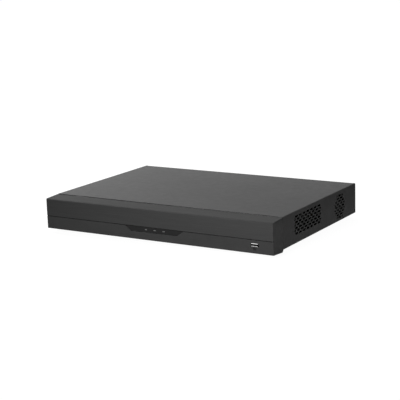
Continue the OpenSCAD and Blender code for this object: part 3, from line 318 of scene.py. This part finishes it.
def smoked_window(name):
    """Nearly black polished plastic with faint polishing marks."""
    finish = Finish(name, rgb(36), 0.12, specular=0.1)
    finish.vary_colour(finish.noise(14 * MM), 0.06)
    finish.vary_roughness(finish.noise(2 * MM, 4.0), 0.09, 0.17)
    finish.bump(finish.noise(0.8 * MM), 0.004 * MM, 0.5)
    return finish.material


def plated(name, colour, roughness=0.24):
    """Plated or turned metal, with drawing marks and a slight cloudiness."""
    finish = Finish(name, colour, roughness, metallic=1.0, specular=0.5)
    marks = finish.noise(1.0, 3.0, finish.stretched((500.0, 3500.0, 500.0)))
    finish.vary_colour(finish.noise(2.2 * MM, 3.0), 0.06)
    finish.vary_roughness(finish.noise(1.2 * MM, 4.0), roughness - 0.07, roughness + 0.1)
    finish.bump(marks, 0.008 * MM, 0.5)
    return finish.material


def socket_plate_painted_shade(name, mouth):
    """Nickel plate with painted shade: its colour turns dark from a socket's mouth into its depth, where
    shade falls inside the socket.
    """
    finish = Finish(name, NICKEL, 0.24, metallic=1.0, specular=0.5)
    split = finish.tree.nodes.new("ShaderNodeSeparateXYZ")
    finish.link(finish.place, split.inputs["Vector"])
    start, end = mouth - 0.1 * MM, mouth + 0.15 * MM
    depth = finish.ranged(split.outputs["Y"], 0.0, 1.0, start, end)
    # Painted shade: the nickel goes near black just behind the mouth.
    finish.blend_colour(depth, finish.colour, rgb(24), 0.1, 0.9)
    finish.vary_roughness(finish.noise(1.2 * MM, 4.0), 0.2, 0.34)
    return finish.material


def rubber(name):
    """Matt black rubber with a dusty bloom."""
    finish = Finish(name, rgb(30), 0.85, specular=0.2)
    finish.vary_colour(finish.noise(4 * MM, 4.0), 0.16)
    finish.vary_roughness(finish.noise(3 * MM), 0.78, 0.92)
    finish.bump(finish.noise(0.3 * MM), 0.03 * MM, 0.6)
    return finish.material


def circuit_board(name):
    """Green solder mask over copper tracks and pads."""
    finish = Finish(name, rgb(16, 74, 40), 0.34, specular=0.4)
    tracks = finish.cells(3.2 * MM, "DISTANCE_TO_EDGE")
    finish.blend_colour(tracks, rgb(40, 112, 62), rgb(14, 70, 36), 0.02, 0.06)
    finish.bump(tracks, 0.04 * MM, 0.4)
    finish.vary_roughness(finish.noise(5 * MM), 0.28, 0.42)
    return finish.material


def clear_plastic(name):
    """Clear acrylic, a little cloudy."""
    finish = Finish(name, rgb(225), 0.1, specular=0.5)
    finish.shader.inputs["Transmission Weight"].default_value = 0.7
    finish.vary_roughness(finish.noise(2 * MM), 0.06, 0.16)
    return finish.material


def cast_metal(name, colour):
    """Cast aluminium under a thin dark coat."""
    finish = Finish(name, colour, 0.5, metallic=0.3, specular=0.3)
    finish.vary_colour(finish.noise(7 * MM, 4.0), 0.08)
    finish.vary_roughness(finish.noise(3 * MM), 0.42, 0.6)
    finish.bump(finish.noise(0.4 * MM, 3.0), 0.05 * MM, 0.6)
    return finish.material


def sleeved_lead(name, colour):
    """Soft insulation with a slight rib along the lead."""
    finish = Finish(name, colour, 0.45, specular=0.3)
    finish.vary_colour(finish.noise(4 * MM), 0.08)
    ribs = finish.noise(1.0, 1.0, finish.stretched((1100.0, 60.0, 1100.0)))
    finish.bump(ribs, 0.06 * MM, 0.5)
    return finish.material


def make_finishes():
    """One material for each slot of the record."""
    return {
        "case_paint": powder_coat("case_powder_coat", rgb(87)),
        "tray_steel": powder_coat("tray_powder_coat", rgb(80)),
        "bezel_plastic": moulded_plastic("bezel_plastic", rgb(67), specular=0.045),
        "panel_plastic": brushed_panel("brushed_panel", rgb(73)),
        "smoked_window": smoked_window("smoked_window"),
        "clear_plastic": clear_plastic("light_guide_plastic"),
        "board_green": circuit_board("green_circuit_board"),
        "lamp_white": moulded_plastic("lamp_body", rgb(225), roughness=0.3),
        "plated_steel": plated("nickel_plate", NICKEL, 0.2),
        "zinc_screw": plated("zinc_plate", rgb(176, 178, 182), 0.3),
        "white_plastic": glossy_plastic("white_insulator", rgb(226, 225, 218), 0.4),
        "black_plastic": moulded_plastic("black_nylon", rgb(21), roughness=0.6, specular=0.06),
        "rubber": rubber("foot_rubber"),
        "cast_aluminium": cast_metal("drive_casting", rgb(52)),
        "lid_steel": plated("drive_lid_steel", rgb(190), 0.32),
        "red_lead": sleeved_lead("red_lead", rgb(170, 30, 26)),
        "grey_lead": sleeved_lead("grey_ribbon", rgb(168, 168, 172)),
        "yellow_lead": sleeved_lead("yellow_lead", rgb(176, 142, 46)),
        "brass": plated("brass", rgb(196, 164, 92), 0.3),
        "aluminium": plated("extruded_aluminium", rgb(196, 198, 202), 0.36),
        "navy_sleeve": glossy_plastic("capacitor_sleeve", rgb(30, 36, 78), 0.25),
        "copper": plated("enamelled_copper", rgb(190, 112, 66), 0.35),
        "gold_plate": plated("gold_plate", rgb(222, 182, 96), 0.22),
        "red_plastic": glossy_plastic("red_insulator", rgb(176, 30, 28), 0.35),
        "blue_plastic": glossy_plastic("blue_insulator", rgb(34, 66, 150), 0.4),
        "green_plastic": glossy_plastic("green_terminal", rgb(46, 140, 66), 0.42, 0.35),
    }


FINISHES = make_finishes()


def dress(obj, slot):
    """Gives a piece one of the record's finishes."""
    obj.data.materials.clear()
    obj.data.materials.append(FINISHES[slot])


for node_name, node_object in NODES.items():
    dress(node_object, SLOT_OF[node_name])


# ---- Making pieces ----

# Doubles of a CAD mesh and of a pattern are nearer than these.
CAD_WELD = 0.002 * MM
PATTERN_WELD = 0.0005 * MM
# In degrees: faces flatter than FLAT are one face, and an edge past CREASE
# looks sharp. A bevel takes the edges past CORNER.
FLAT = 0.3
CREASE = 35
CORNER = 40


def add_piece(name, mesh, body, slot, finish=None):
    """A finished piece at the origin, riding on a body."""
    obj = bpy.data.objects.new(name, mesh)
    bpy.context.scene.collection.objects.link(obj)
    mesh.materials.clear()
    mesh.materials.append(finish or FINISHES[slot])
    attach(obj, body)
    return obj


def smooth_by_angle(mesh, degrees=CREASE):
    """Smooth shading, with creases where the surface turns by more than an angle."""
    mesh.shade_smooth()
    mesh.set_sharp_from_angle(angle=math.radians(degrees))


def ended(shape, name):
    """The named mesh of a bmesh, which is freed."""
    mesh = bpy.data.meshes.new(name)
    shape.to_mesh(mesh)
    shape.free()
    return mesh


def merged_copy(node):
    """A CAD node's mesh with its loose triangles joined into flat faces."""
    shape = bmesh.new()
    shape.from_mesh(NODES[node].data)
    bmesh.ops.remove_doubles(shape, verts=shape.verts, dist=CAD_WELD)
    bmesh.ops.dissolve_limit(
        shape, angle_limit=math.radians(FLAT), delimit={"NORMAL"}, verts=shape.verts, edges=shape.edges
    )
    return ended(shape, node + "_finished")


def soften(node, radius=0.0, segments=2, crease=CREASE):
    """Stands for a CAD node with the same shape, its sharp edges rounded by a radius in
    millimetres; edges past the crease in degrees still look sharp."""
    mesh = merged_copy(node)
    obj = add_piece(node + "_finished", mesh, BODY_OF[node], SLOT_OF[node])
    if radius:
        bevel = obj.modifiers.new("edge_radius", "BEVEL")
        bevel.width = radius * MM
        bevel.segments = segments
        bevel.limit_method = "ANGLE"
        bevel.angle_limit = math.radians(CORNER)
        bevel.use_clamp_overlap = True
    smooth_by_angle(mesh, crease)
    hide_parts(node)
    return obj


class Pattern:
    """A Geometry Nodes tree under construction, with a named input for each of its sizes."""

    def __init__(self, name):
        self.tree = bpy.data.node_groups.new(name, "GeometryNodeTree")
        sockets = self.tree.interface
        sockets.new_socket("Geometry", in_out="INPUT", socket_type="NodeSocketGeometry")
        sockets.new_socket("Geometry", in_out="OUTPUT", socket_type="NodeSocketGeometry")
        self.start = self.tree.nodes.new("NodeGroupInput")
        self.base = self.start.outputs[0]
        self.values = {}

    def size(self, name, value):
        """A named input that is set on the modifier."""
        kinds = {int: "NodeSocketInt", float: "NodeSocketFloat", tuple: "NodeSocketVector"}
        kind = kinds[type(value)]
        socket = self.tree.interface.new_socket(name, in_out="INPUT", socket_type=kind)
        self.values[socket.identifier] = value
        return self.start.outputs[name]

    def add(self, kind, inputs=None, output=0, **settings):
        """A node with its inputs linked or set; gives one of its outputs."""
        node = self.tree.nodes.new("GeometryNode" + kind)
        for name, value in settings.items():
            setattr(node, name, value)
        for name, value in (inputs or {}).items():
            if isinstance(value, bpy.types.NodeSocket):
                self.tree.links.new(value, node.inputs[name])
            else:
                node.inputs[name].default_value = value
        return node.outputs[output]

    def joined(self, *parts):
        """Shapes joined into one."""
        node = self.tree.nodes.new("GeometryNodeJoinGeometry")
        for part in parts:
            self.tree.links.new(part, node.inputs[0])
        return node.outputs[0]

    def repeated(self, shape, points, rotation=(0.0, 0.0, 0.0)):
        """The shape on each point."""
        return self.add(
            "InstanceOnPoints", {"Points": points, "Instance": shape, "Rotation": rotation}
        )

    def grown(self, result, finish, base=None):
        """Ends the tree, runs it on a mesh and gives the plain mesh that it makes."""
        real = self.add("RealizeInstances", {"Geometry": result})
        dressed = self.add("SetMaterial", {"Geometry": real, "Material": finish})
        end = self.tree.nodes.new("NodeGroupOutput")
        self.tree.links.new(dressed, end.inputs[0])
        carrier = bpy.data.objects.new(self.tree.name, base or bpy.data.meshes.new(self.tree.name))
        bpy.context.scene.collection.objects.link(carrier)
        modifier = carrier.modifiers.new("pattern", "NODES")
        modifier.node_group = self.tree
        for identifier, value in self.values.items():
            modifier[identifier] = value
        graph = bpy.context.evaluated_depsgraph_get()
        mesh = bpy.data.meshes.new_from_object(carrier.evaluated_get(graph))
        bpy.data.objects.remove(carrier)
        shape = bmesh.new()
        shape.from_mesh(mesh)
        bmesh.ops.remove_doubles(shape, verts=shape.verts, dist=PATTERN_WELD)
        bmesh.ops.recalc_face_normals(shape, faces=shape.faces)
        shape.to_mesh(mesh)
        shape.free()
        mesh.name = self.tree.name
        smooth_by_angle(mesh)
        return mesh


def bar_row(name, count, pitch, size, first, slot, tilt=0.0):
    """A row of equal bars across the case, from the place of the first one."""
    pattern = Pattern(name)
    last = Vector(first) + (count - 1) * Vector((pitch, 0, 0))
    line = pattern.add("MeshLine", {
        "Count": pattern.size("Bars", count),
        "Start Location": pattern.size("First bar", tuple(first)),
        "Offset": pattern.size("Last bar", tuple(last)),
    }, mode="END_POINTS")
    bar = pattern.add("MeshCube", {"Size": pattern.size("Bar size", size)})
    row = pattern.repeated(bar, line, (math.radians(tilt), 0.0, 0.0))
    add_piece(name, pattern.grown(row, FINISHES[slot]), "case", slot)


def block(name, place, size, slot, finish=None, bevel=0.0):
    """A small block on the case, by its middle and its size."""
    shape = bmesh.new()
    bmesh.ops.create_cube(shape, size=1.0)
    placed = Matrix.Translation(place) @ Matrix.Diagonal((*size, 1.0))
    bmesh.ops.transform(shape, matrix=placed, verts=shape.verts)
    if bevel:
        bmesh.ops.bevel(
            shape, geom=shape.edges, offset=bevel, segments=2, profile=0.5, affect="EDGES"
        )
    add_piece(name, ended(shape, name), "case", slot, finish)


def middle_of(node):
    """The middle of a node's box."""
    low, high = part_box(node)
    return (low + high) / 2


# ---- The case and the front ----

soften("top_cover")
soften("front_bezel", 0.15)
soften("upper_panel", 0.12)
WINDOW = soften("indicator_window", 0.15)
soften("rear_panel")
soften("base_tray", crease=15)
soften("rubber_feet", 0.8, 3)
FRONT_USB = soften("front_usb_shell", 0.06)
FRONT_USB.data.materials[0] = socket_plate_painted_shade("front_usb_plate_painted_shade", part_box("front_usb_shell")[0].y)


MARK_PAINT = moulded_plastic("lamp_mark", rgb(122), roughness=0.35, specular=0.3)
MARK_COUNT = 3
MARK_LENGTH = 3.8 * MM
MARK_HEIGHT = 1.0 * MM
MARK_END_RADIUS = 0.49 * MM
MARK_RELIEF = 0.1 * MM


def lamp_marks():
    """Three pale slits in the window, over the lamps, along a line on its face."""
    tree = surface_tree([WINDOW])
    first = on_surface("lamp_left", tree)
    last = on_surface("lamp_right", tree)
    pattern = Pattern("lamp_marks")
    line = pattern.add("MeshLine", {
        "Count": pattern.size("Marks", MARK_COUNT),
        "Start Location": pattern.size("First mark", tuple(first)),
        "Offset": pattern.size("Last mark", (last.x, last.y, first.z)),
    }, mode="END_POINTS")
    outline = pattern.add("CurvePrimitiveQuadrilateral", {
        "Width": pattern.size("Mark length", MARK_LENGTH),
        "Height": pattern.size("Mark height", MARK_HEIGHT),
    })
    rounded = pattern.add("FilletCurve", {
        "Curve": outline, "Count": 6, "Radius": pattern.size("Mark end radius", MARK_END_RADIUS),
    }, mode="POLY")
    face = pattern.add("FillCurve", {"Curve": rounded}, mode="NGONS")
    solid = pattern.add("ExtrudeMesh", {"Mesh": face, "Offset Scale": MARK_RELIEF})
    solid = pattern.joined(solid, face)
    row = pattern.repeated(solid, line, (math.pi / 2, 0.0, 0.0))
    return add_piece("lamp_marks", pattern.grown(row, MARK_PAINT), "case", "lamp_white", MARK_PAINT)


# Each spring's middle above the socket's middle, and its thickness.
SPRINGS = {"upper": (1.8 * MM, 0.92 * MM), "lower": (-2.05 * MM, 0.85 * MM)}
SPRING_LENGTH = 9.8 * MM
SPRING_DEPTH = 0.7 * MM
SPRING_EDGE = 0.08 * MM
SPRING_IN = 0.25 * MM
SPRING_TO_LEFT = 0.65 * MM


def usb_springs():
    """The folded ends of the contact springs across the front socket's mouth, in nickel lightened to near
    white: real spring ends with a painted highlight.
    """
    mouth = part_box("front_usb_shell")[0].y
    centre = middle_of("front_usb_shell")
    # Painted highlight: the nickel is lightened to near white so the spring ends show as bright bars.
    highlight_nickel = plated("spring_painted_highlight", rgb(252, 251, 249), 0.16)
    for side, (height, thickness) in SPRINGS.items():
        place = Vector((centre.x - SPRING_TO_LEFT, mouth + SPRING_IN, centre.z + height))
        size = (SPRING_LENGTH, SPRING_DEPTH, thickness)
        block("front_usb_" + side + "_spring", place, size, "plated_steel", highlight_nickel, SPRING_EDGE)


SCOOP_BELOW_MIDDLE = 3.4 * MM
SCOOP_HEIGHT = 3.7 * MM
SCOOP_HALF_TOP = 3.28 * MM
SCOOP_HALF_FOOT = 1.38 * MM
SCOOP_DEPTH = 0.4 * MM
SCOOP_PAD = 0.15 * MM


def scoop_shade_pad():
    """A pad on the floor of the finger scoop under the front socket, darker than the bezel: painted shade
    in the scoop.
    """
    centre = middle_of("front_usb_shell")
    top = centre.z - SCOOP_BELOW_MIDDLE
    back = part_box("front_usb_shell")[0].y + SCOOP_DEPTH
    outline = (
        (-SCOOP_HALF_TOP, 0.0), (-SCOOP_HALF_FOOT, -SCOOP_HEIGHT),
        (SCOOP_HALF_FOOT, -SCOOP_HEIGHT), (SCOOP_HALF_TOP, 0.0),
    )
    corners = [(centre.x + a, y, top + b) for y in (back, back - SCOOP_PAD) for a, b in outline]
    faces = [(0, 1, 2, 3), (7, 6, 5, 4), (0, 4, 5, 1), (1, 5, 6, 2), (2, 6, 7, 3), (3, 7, 4, 0)]
    mesh = bpy.data.meshes.new("front_usb_scoop_shade")
    mesh.from_pydata(corners, [], faces)
    # Painted shade: a grey darker than the bezel's stands for the shade in the scoop.
    floor = moulded_plastic("scoop_floor_painted_shade", rgb(50), specular=0.04)
    add_piece("front_usb_scoop_shade", mesh, "case", "bezel_plastic", floor)


SEAM_DEPTH = 1.5 * MM
SEAM_STRIP = 0.3 * MM
SEAM_END = 0.6 * MM


def seam_shadow():
    """A near-black strip at the bottom of the groove between the two halves of the front: painted shadow.
    """
    low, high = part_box("upper_panel")
    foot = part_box("indicator_window")[1].z
    place = Vector((0.0, low.y + SEAM_DEPTH - SEAM_STRIP / 2, (low.z + foot) / 2))
    size = (high.x - low.x - 2 * SEAM_END, SEAM_STRIP, low.z - foot)
    shadow = moulded_plastic("seam_shadow", rgb(8), specular=0.0)
    block("front_seam", place, size, "bezel_plastic", shadow)


MARKS = lamp_marks()
usb_springs()
scoop_shade_pad()
seam_shadow()

# ---- The rear sockets ----


def turned_profile(points, radius):
    """A closed outline for turning about a circle: (radius, height) in millimetres."""
    mesh = bpy.data.meshes.new("turned_profile")
    corners = [((r - radius) * MM, -h * MM, 0.0) for r, h in points]
    edges = [(i, (i + 1) % len(corners)) for i in range(len(corners))]
    mesh.from_pydata(corners, edges, [])
    return mesh


def camera_sockets():
    """Sixteen turned bayonet sockets with two lugs each, on a grid of eight by two."""
    low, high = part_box("bnc_barrels")
    centre = (low + high) / 2
    # In millimetres, heights from the panel outwards.
    tip = (high.y - low.y) / MM
    radius, bore, pin_hole = 4.8, 4.05, 0.6
    edge, mouth_edge, floor = 0.35, 0.25, 10.0
    groove_foot, groove_top, groove_slope = 10.2, 11.4, 0.3
    collar, collar_foot, collar_top, collar_edge = 6.0, 5.0, 9.4, 0.3
    lug_radius, lug_rise, lug_below_tip = 0.95, 0.8, 4.2
    outline = [
        (bore, floor), (bore, tip - edge), (bore + mouth_edge, tip),
        (radius - edge, tip), (radius, tip - edge),
        (radius, groove_top), (radius - edge, groove_top - groove_slope),
        (radius - edge, groove_foot + groove_slope), (radius, groove_foot),
        (radius, collar_top), (collar - collar_edge, collar_top), (collar, collar_top - collar_edge),
        (collar, collar_foot), (radius, collar_foot),
        (radius, 0.0), (pin_hole, 0.0), (pin_hole, floor),
    ]
    pattern = Pattern("camera_sockets")
    grid = pattern.add("MeshGrid", {
        "Size X": pattern.size("Row length", high.x - low.x - 2 * collar * MM),
        "Size Y": pattern.size("Row spacing", high.z - low.z - 2 * collar * MM),
        "Vertices X": pattern.size("Columns", 8),
        "Vertices Y": pattern.size("Rows", 2),
    })
    grid = pattern.add("Transform", {
        "Geometry": grid, "Translation": (centre.x, low.y, centre.z), "Rotation": (math.pi / 2, 0.0, 0.0),
    })
    ring = pattern.add("CurvePrimitiveCircle", {
        "Resolution": pattern.size("Sides", 40), "Radius": pattern.size("Barrel radius", radius * MM),
    })
    section = pattern.add("MeshToCurve", {"Mesh": pattern.base})
    barrel = pattern.add("CurveToMesh", {"Curve": ring, "Profile Curve": section})
    lug = pattern.add("MeshCylinder", {
        "Vertices": 16, "Radius": lug_radius * MM,
        "Depth": pattern.size("Lug span", 2 * (radius + lug_rise) * MM),
    })
    lug = pattern.add("Transform", {
        "Geometry": lug, "Translation": (0.0, 0.0, (tip - lug_below_tip) * MM),
        "Rotation": (0.0, math.pi / 2, 0.0),
    })
    socket = pattern.joined(barrel, lug)
    sockets = pattern.repeated(socket, grid, (-math.pi / 2, 0.0, 0.0))
    mesh = pattern.grown(sockets, FINISHES["plated_steel"], turned_profile(outline, radius))
    obj = add_piece("camera_sockets", mesh, "case", "plated_steel")
    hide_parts("bnc_barrels")


camera_sockets()
for bare_node in (
    "audio_shells", "audio_insulators", "audio_housing", "bnc_insulators", "bnc_contacts", "power_jack",
    "cover_screws", "foot_screws", "drive_screws", "ground_screw", "terminal_screws",
    "vga_jackscrews", "vga_insulator", "fan_frame", "fan_rotor",
):
    soften(bare_node)
for edged_node, edge_radius in {
    "vga_shell": 0.25, "hdmi_shell": 0.06, "rear_usb_shell": 0.06, "network_shield": 0.1,
    "terminal_header": 0.12, "terminal_plug": 0.15, "switch_housing": 0.15, "switch_rocker": 0.15,
}.items():
    soften(edged_node, edge_radius)


def network_contacts():
    """Eight sprung contacts under the roof of the network socket."""
    centre = middle_of("network_shield")
    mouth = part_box("network_shield")[1].y
    pitch, half_row, inside, above_middle = 1.02 * MM, 3.57 * MM, 6.8 * MM, 3.3 * MM
    first = (centre.x - half_row, mouth - inside, centre.z + above_middle)
    size = (0.45 * MM, 8.5 * MM, 0.3 * MM)
    bar_row("network_contacts", 8, pitch, size, first, "gold_plate", tilt=-12)


def usb_contacts(name, tongue, contacts_y):
    """Four flat contacts on the underside of a USB socket's tongue."""
    centre = middle_of(tongue)
    pitch, half_row, below_middle = 2.33 * MM, 3.5 * MM, 0.52 * MM
    first = (centre.x - half_row, contacts_y, centre.z - below_middle)
    bar_row(name, 4, pitch, (1.1 * MM, 6.0 * MM, 0.2 * MM), first, "gold_plate")


def hdmi_contacts(name, count, side):
    """Fine contacts on the upper side (1) or the lower side (-1) of the HDMI socket's tongue."""
    centre = middle_of("hdmi_tongue")
    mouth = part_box("hdmi_tongue")[1].y
    pitch, inside, tongue_rise, half_tongue = 1.0 * MM, 3.6 * MM, 0.4 * MM, 0.56 * MM
    height = centre.z + tongue_rise + side * half_tongue
    first = (centre.x - (count - 1) / 2 * pitch, mouth - inside, height)
    bar_row(name, count, pitch, (0.42 * MM, 6.5 * MM, 0.14 * MM), first, "gold_plate")


LENS_SIZE = (3.0 * MM, 0.8 * MM, 1.9 * MM)
LENS_EDGE = 0.15 * MM
LENS_FROM_MIDDLE = 5.3 * MM
LENS_FROM_FOOT = 1.5 * MM
LENS_IN = 0.2 * MM


def network_lamps():
    """Two unlit lamp lenses under the network socket's mouth."""
    low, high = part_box("network_body")
    middle_x = (low.x + high.x) / 2
    for name, side, colour in (
        ("link_lamp", -1, rgb(92, 128, 70)),
        ("traffic_lamp", 1, rgb(176, 128, 52)),
    ):
        lens = moulded_plastic(name + "_lens", colour, roughness=0.25, specular=0.45)
        x = middle_x + side * LENS_FROM_MIDDLE
        place = Vector((x, high.y - LENS_IN, low.z + LENS_FROM_FOOT))
        block(name, place, LENS_SIZE, "lamp_white", lens, LENS_EDGE)


def power_pin():
    """The nickel sleeve on the power socket's centre pin."""
    low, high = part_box("power_jack")
    foot_radius, tip_radius, length = 1.04 * MM, 0.9 * MM, 8.2 * MM
    inside, above_foot = 6.5 * MM, 6.4 * MM
    shape = bmesh.new()
    bmesh.ops.create_cone(
        shape, cap_ends=True, segments=24, radius1=foot_radius, radius2=tip_radius, depth=length
    )
    place = Vector(((low.x + high.x) / 2, high.y - inside, low.z + above_foot))
    placed = Matrix.Translation(place) @ Matrix.Rotation(-math.pi / 2, 4, "X")
    bmesh.ops.transform(shape, matrix=placed, verts=shape.verts)
    mesh = ended(shape, "power_pin")
    smooth_by_angle(mesh)
    add_piece("power_pin", mesh, "case", "plated_steel")


def ground_washer():
    """A toothed washer under the ground screw's head."""
    centre = middle_of("ground_screw")
    panel_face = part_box("rear_panel")[1].y
    radius, thickness, gap, twist = 3.6 * MM, 0.5 * MM, 0.26 * MM, math.radians(24)
    pattern = Pattern("ground_washer")
    ring = pattern.add("CurvePrimitiveCircle", {
        "Resolution": pattern.size("Teeth", 14), "Radius": pattern.size("Tooth circle", radius),
    })
    tooth = pattern.add("MeshCube", {
        "Size": pattern.size("Tooth size", (0.8 * MM, 0.35 * MM, 0.8 * MM)),
    })
    tooth = pattern.add("Transform", {"Geometry": tooth, "Rotation": (twist, 0.0, 0.0)})
    points = pattern.add("CurveToPoints", {"Curve": ring}, mode="EVALUATED")
    turned = pattern.tree.nodes[-1].outputs["Rotation"]
    teeth = pattern.repeated(tooth, points, turned)
    plate = pattern.add("MeshCylinder", {"Vertices": 32, "Radius": radius, "Depth": thickness})
    whole = pattern.add("Transform", {
        "Geometry": pattern.joined(teeth, plate), "Rotation": (math.pi / 2, 0.0, 0.0),
        "Translation": (centre.x, panel_face + gap, centre.z),
    })
    mesh = pattern.grown(whole, FINISHES["zinc_screw"])
    add_piece("ground_washer", mesh, "case", "zinc_screw")


def rocker_marks():
    """The raised bar and ring on the power rocker's two faces."""
    low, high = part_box("switch_rocker")
    x = (low.x + high.x) / 2
    # Each mark below the box's outer side, and above its foot; the faces' slopes.
    bar_in, bar_up, bar_slope = 1.45 * MM, 7.8 * MM, math.radians(-90)
    ring_in, ring_up, ring_slope = 0.49 * MM, 3.0 * MM, math.radians(-70)
    pattern = Pattern("rocker_marks")
    bar = pattern.add("MeshCube", {"Size": pattern.size("Bar size", (0.5 * MM, 2.2 * MM, 0.2 * MM))})
    bar = pattern.add("Transform", {
        "Geometry": bar, "Rotation": (bar_slope, 0.0, 0.0),
        "Translation": (x, high.y - bar_in, low.z + bar_up),
    })
    circle = pattern.add("CurvePrimitiveCircle", {
        "Resolution": 32, "Radius": pattern.size("Ring radius", 1.0 * MM),
    })
    section = pattern.add("CurvePrimitiveCircle", {
        "Resolution": 8, "Radius": pattern.size("Ring thickness", 0.24 * MM),
    })
    ring = pattern.add("CurveToMesh", {"Curve": circle, "Profile Curve": section})
    ring = pattern.add("Transform", {
        "Geometry": ring, "Rotation": (ring_slope, 0.0, 0.0),
        "Translation": (x, high.y - ring_in, low.z + ring_up),
    })
    mesh = pattern.grown(pattern.joined(bar, ring), FINISHES["white_plastic"])
    add_piece("rocker_marks", mesh, "power_rocker", "white_plastic")


USB_CONTACTS_IN = 4.6 * MM

network_contacts()
usb_contacts("front_usb_contacts", "front_usb_tongue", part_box("front_usb_shell")[0].y + USB_CONTACTS_IN)
usb_contacts("rear_usb_contacts", "rear_usb_tongue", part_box("rear_usb_shell")[1].y - USB_CONTACTS_IN)
hdmi_contacts("hdmi_upper_contacts", 10, 1)
hdmi_contacts("hdmi_lower_contacts", 9, -1)
network_lamps()
power_pin()
ground_washer()
rocker_marks()

# ---- Floor, lamps and world ----

# The floor's grey in linear light, its own white to look at, and the light that
# the white world gives the object.
FLOOR_TONE = 0.12
FLOOR_GLOW = 0.97
FLOOR_REACH = 30.0
SKY_LEVEL = 0.035


def seen_directly(tree):
    """1 for rays of the camera, of gloss and of clear parts, and 0 for diffuse light."""
    path = tree.nodes.new("ShaderNodeLightPath")
    first = tree.nodes.new("ShaderNodeMath")
    second = tree.nodes.new("ShaderNodeMath")
    first.operation = second.operation = "MAXIMUM"
    tree.links.new(path.outputs["Is Camera Ray"], first.inputs[0])
    tree.links.new(path.outputs["Is Glossy Ray"], first.inputs[1])
    tree.links.new(first.outputs[0], second.inputs[0])
    tree.links.new(path.outputs["Is Transmission Ray"], second.inputs[1])
    return second.outputs[0]


def make_world():
    """White to look at, and dimmer as a source of light."""
    world = bpy.data.worlds.new("white_studio")
    bpy.context.scene.world = world
    world.use_nodes = True
    tree = world.node_tree
    level = tree.nodes.new("ShaderNodeMapRange")
    level.inputs["To Min"].default_value = SKY_LEVEL
    level.inputs["To Max"].default_value = 1.0
    tree.links.new(seen_directly(tree), level.inputs["Value"])
    tree.nodes["Background"].inputs["Color"].default_value = (1.0, 1.0, 1.0, 1.0)
    tree.links.new(level.outputs["Result"], tree.nodes["Background"].inputs["Strength"])


def make_floor():
    """A plain pale floor that keeps a soft shadow."""
    material = bpy.data.materials.new("pale_floor")
    material.use_nodes = True
    tree = material.node_tree
    tree.nodes.remove(tree.nodes["Principled BSDF"])
    paper = tree.nodes.new("ShaderNodeBsdfDiffuse")
    paper.inputs["Color"].default_value = (FLOOR_TONE, FLOOR_TONE, FLOOR_TONE, 1.0)
    glow = tree.nodes.new("ShaderNodeEmission")
    glow.inputs["Color"].default_value = (1.0, 1.0, 1.0, 1.0)
    level = tree.nodes.new("ShaderNodeMapRange")
    level.inputs["To Max"].default_value = FLOOR_GLOW
    tree.links.new(seen_directly(tree), level.inputs["Value"])
    tree.links.new(level.outputs["Result"], glow.inputs["Strength"])
    both = tree.nodes.new("ShaderNodeAddShader")
    tree.links.new(paper.outputs[0], both.inputs[0])
    tree.links.new(glow.outputs[0], both.inputs[1])
    tree.links.new(both.outputs[0], tree.nodes["Material Output"].inputs["Surface"])
    corners = [(x * FLOOR_REACH, y * FLOOR_REACH, 0) for x, y in ((-1, -1), (1, -1), (1, 1), (-1, 1))]
    mesh = bpy.data.meshes.new("floor")
    mesh.from_pydata(corners, [], [(0, 1, 2, 3)])
    mesh.materials.append(material)
    floor = bpy.data.objects.new("floor", mesh)
    bpy.context.scene.collection.objects.link(floor)
    floor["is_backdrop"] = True


def add_light(name, kind, place, target, strength):
    """A light that looks at a target; returns its data for its size."""
    data = bpy.data.lights.new(name, kind)
    data.energy = strength
    light = bpy.data.objects.new(name, data)
    bpy.context.scene.collection.objects.link(light)
    light.location = place
    light.rotation_euler = (Vector(place) - Vector(target)).to_track_quat("Z", "Y").to_euler()
    return data


def add_softbox(name, place, target, strength, size):
    """A rectangular lamp that doesn't show itself."""
    data = add_light(name, "AREA", place, target, strength)
    data.shape = "RECTANGLE"
    data.size, data.size_y = size
    bpy.data.objects[name].visible_camera = False


def make_lights():
    """A broad soft light from above and behind, a softbox high on the left, a small
    one before the right half of the front, and two low strips that stand for the
    light that the floor throws up."""
    overhead = add_light("overhead_sky", "SUN", (-0.5, 0.5, 1.2), (0.0, 0.0, 0.0), 1.01)
    overhead.angle = math.radians(50)
    add_softbox("left_softbox", (-0.6, 0.1, 0.6), (-0.05, -0.02, 0.05), strength=5.26, size=(0.4, 0.4))
    add_softbox("front_softbox", (0.2, -0.46, 0.14), (0.1, -0.14, 0.03), strength=0.93, size=(0.16, 0.1))
    add_softbox(
        "front_strip", (-0.13, -0.26, 0.012), (-0.13, -0.14, 0.012), strength=0.066, size=(0.32, 0.014)
    )
    add_softbox(
        "right_strip", (0.25, -0.02, 0.01), (0.19, -0.02, 0.01), strength=0.014, size=(0.36, 0.012)
    )


make_world()
make_floor()
make_lights()
bpy.context.scene.view_settings.view_transform = "Standard"

# ---- The image edges of all that shows ----



def image_edges():
    """The left, right, top and bottom of all that shows, by finished vertices."""
    graph = bpy.context.evaluated_depsgraph_get()
    seen = []
    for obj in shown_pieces():
        mesh = obj.evaluated_get(graph).to_mesh()
        seen += [shown_at(obj.matrix_world @ vertex.co) for vertex in mesh.vertices]
    xs, ys = zip(*seen)
    return min(xs), max(xs), min(ys), max(ys)


def write_reports():
    left, right, top, bottom = image_edges()


write_reports()
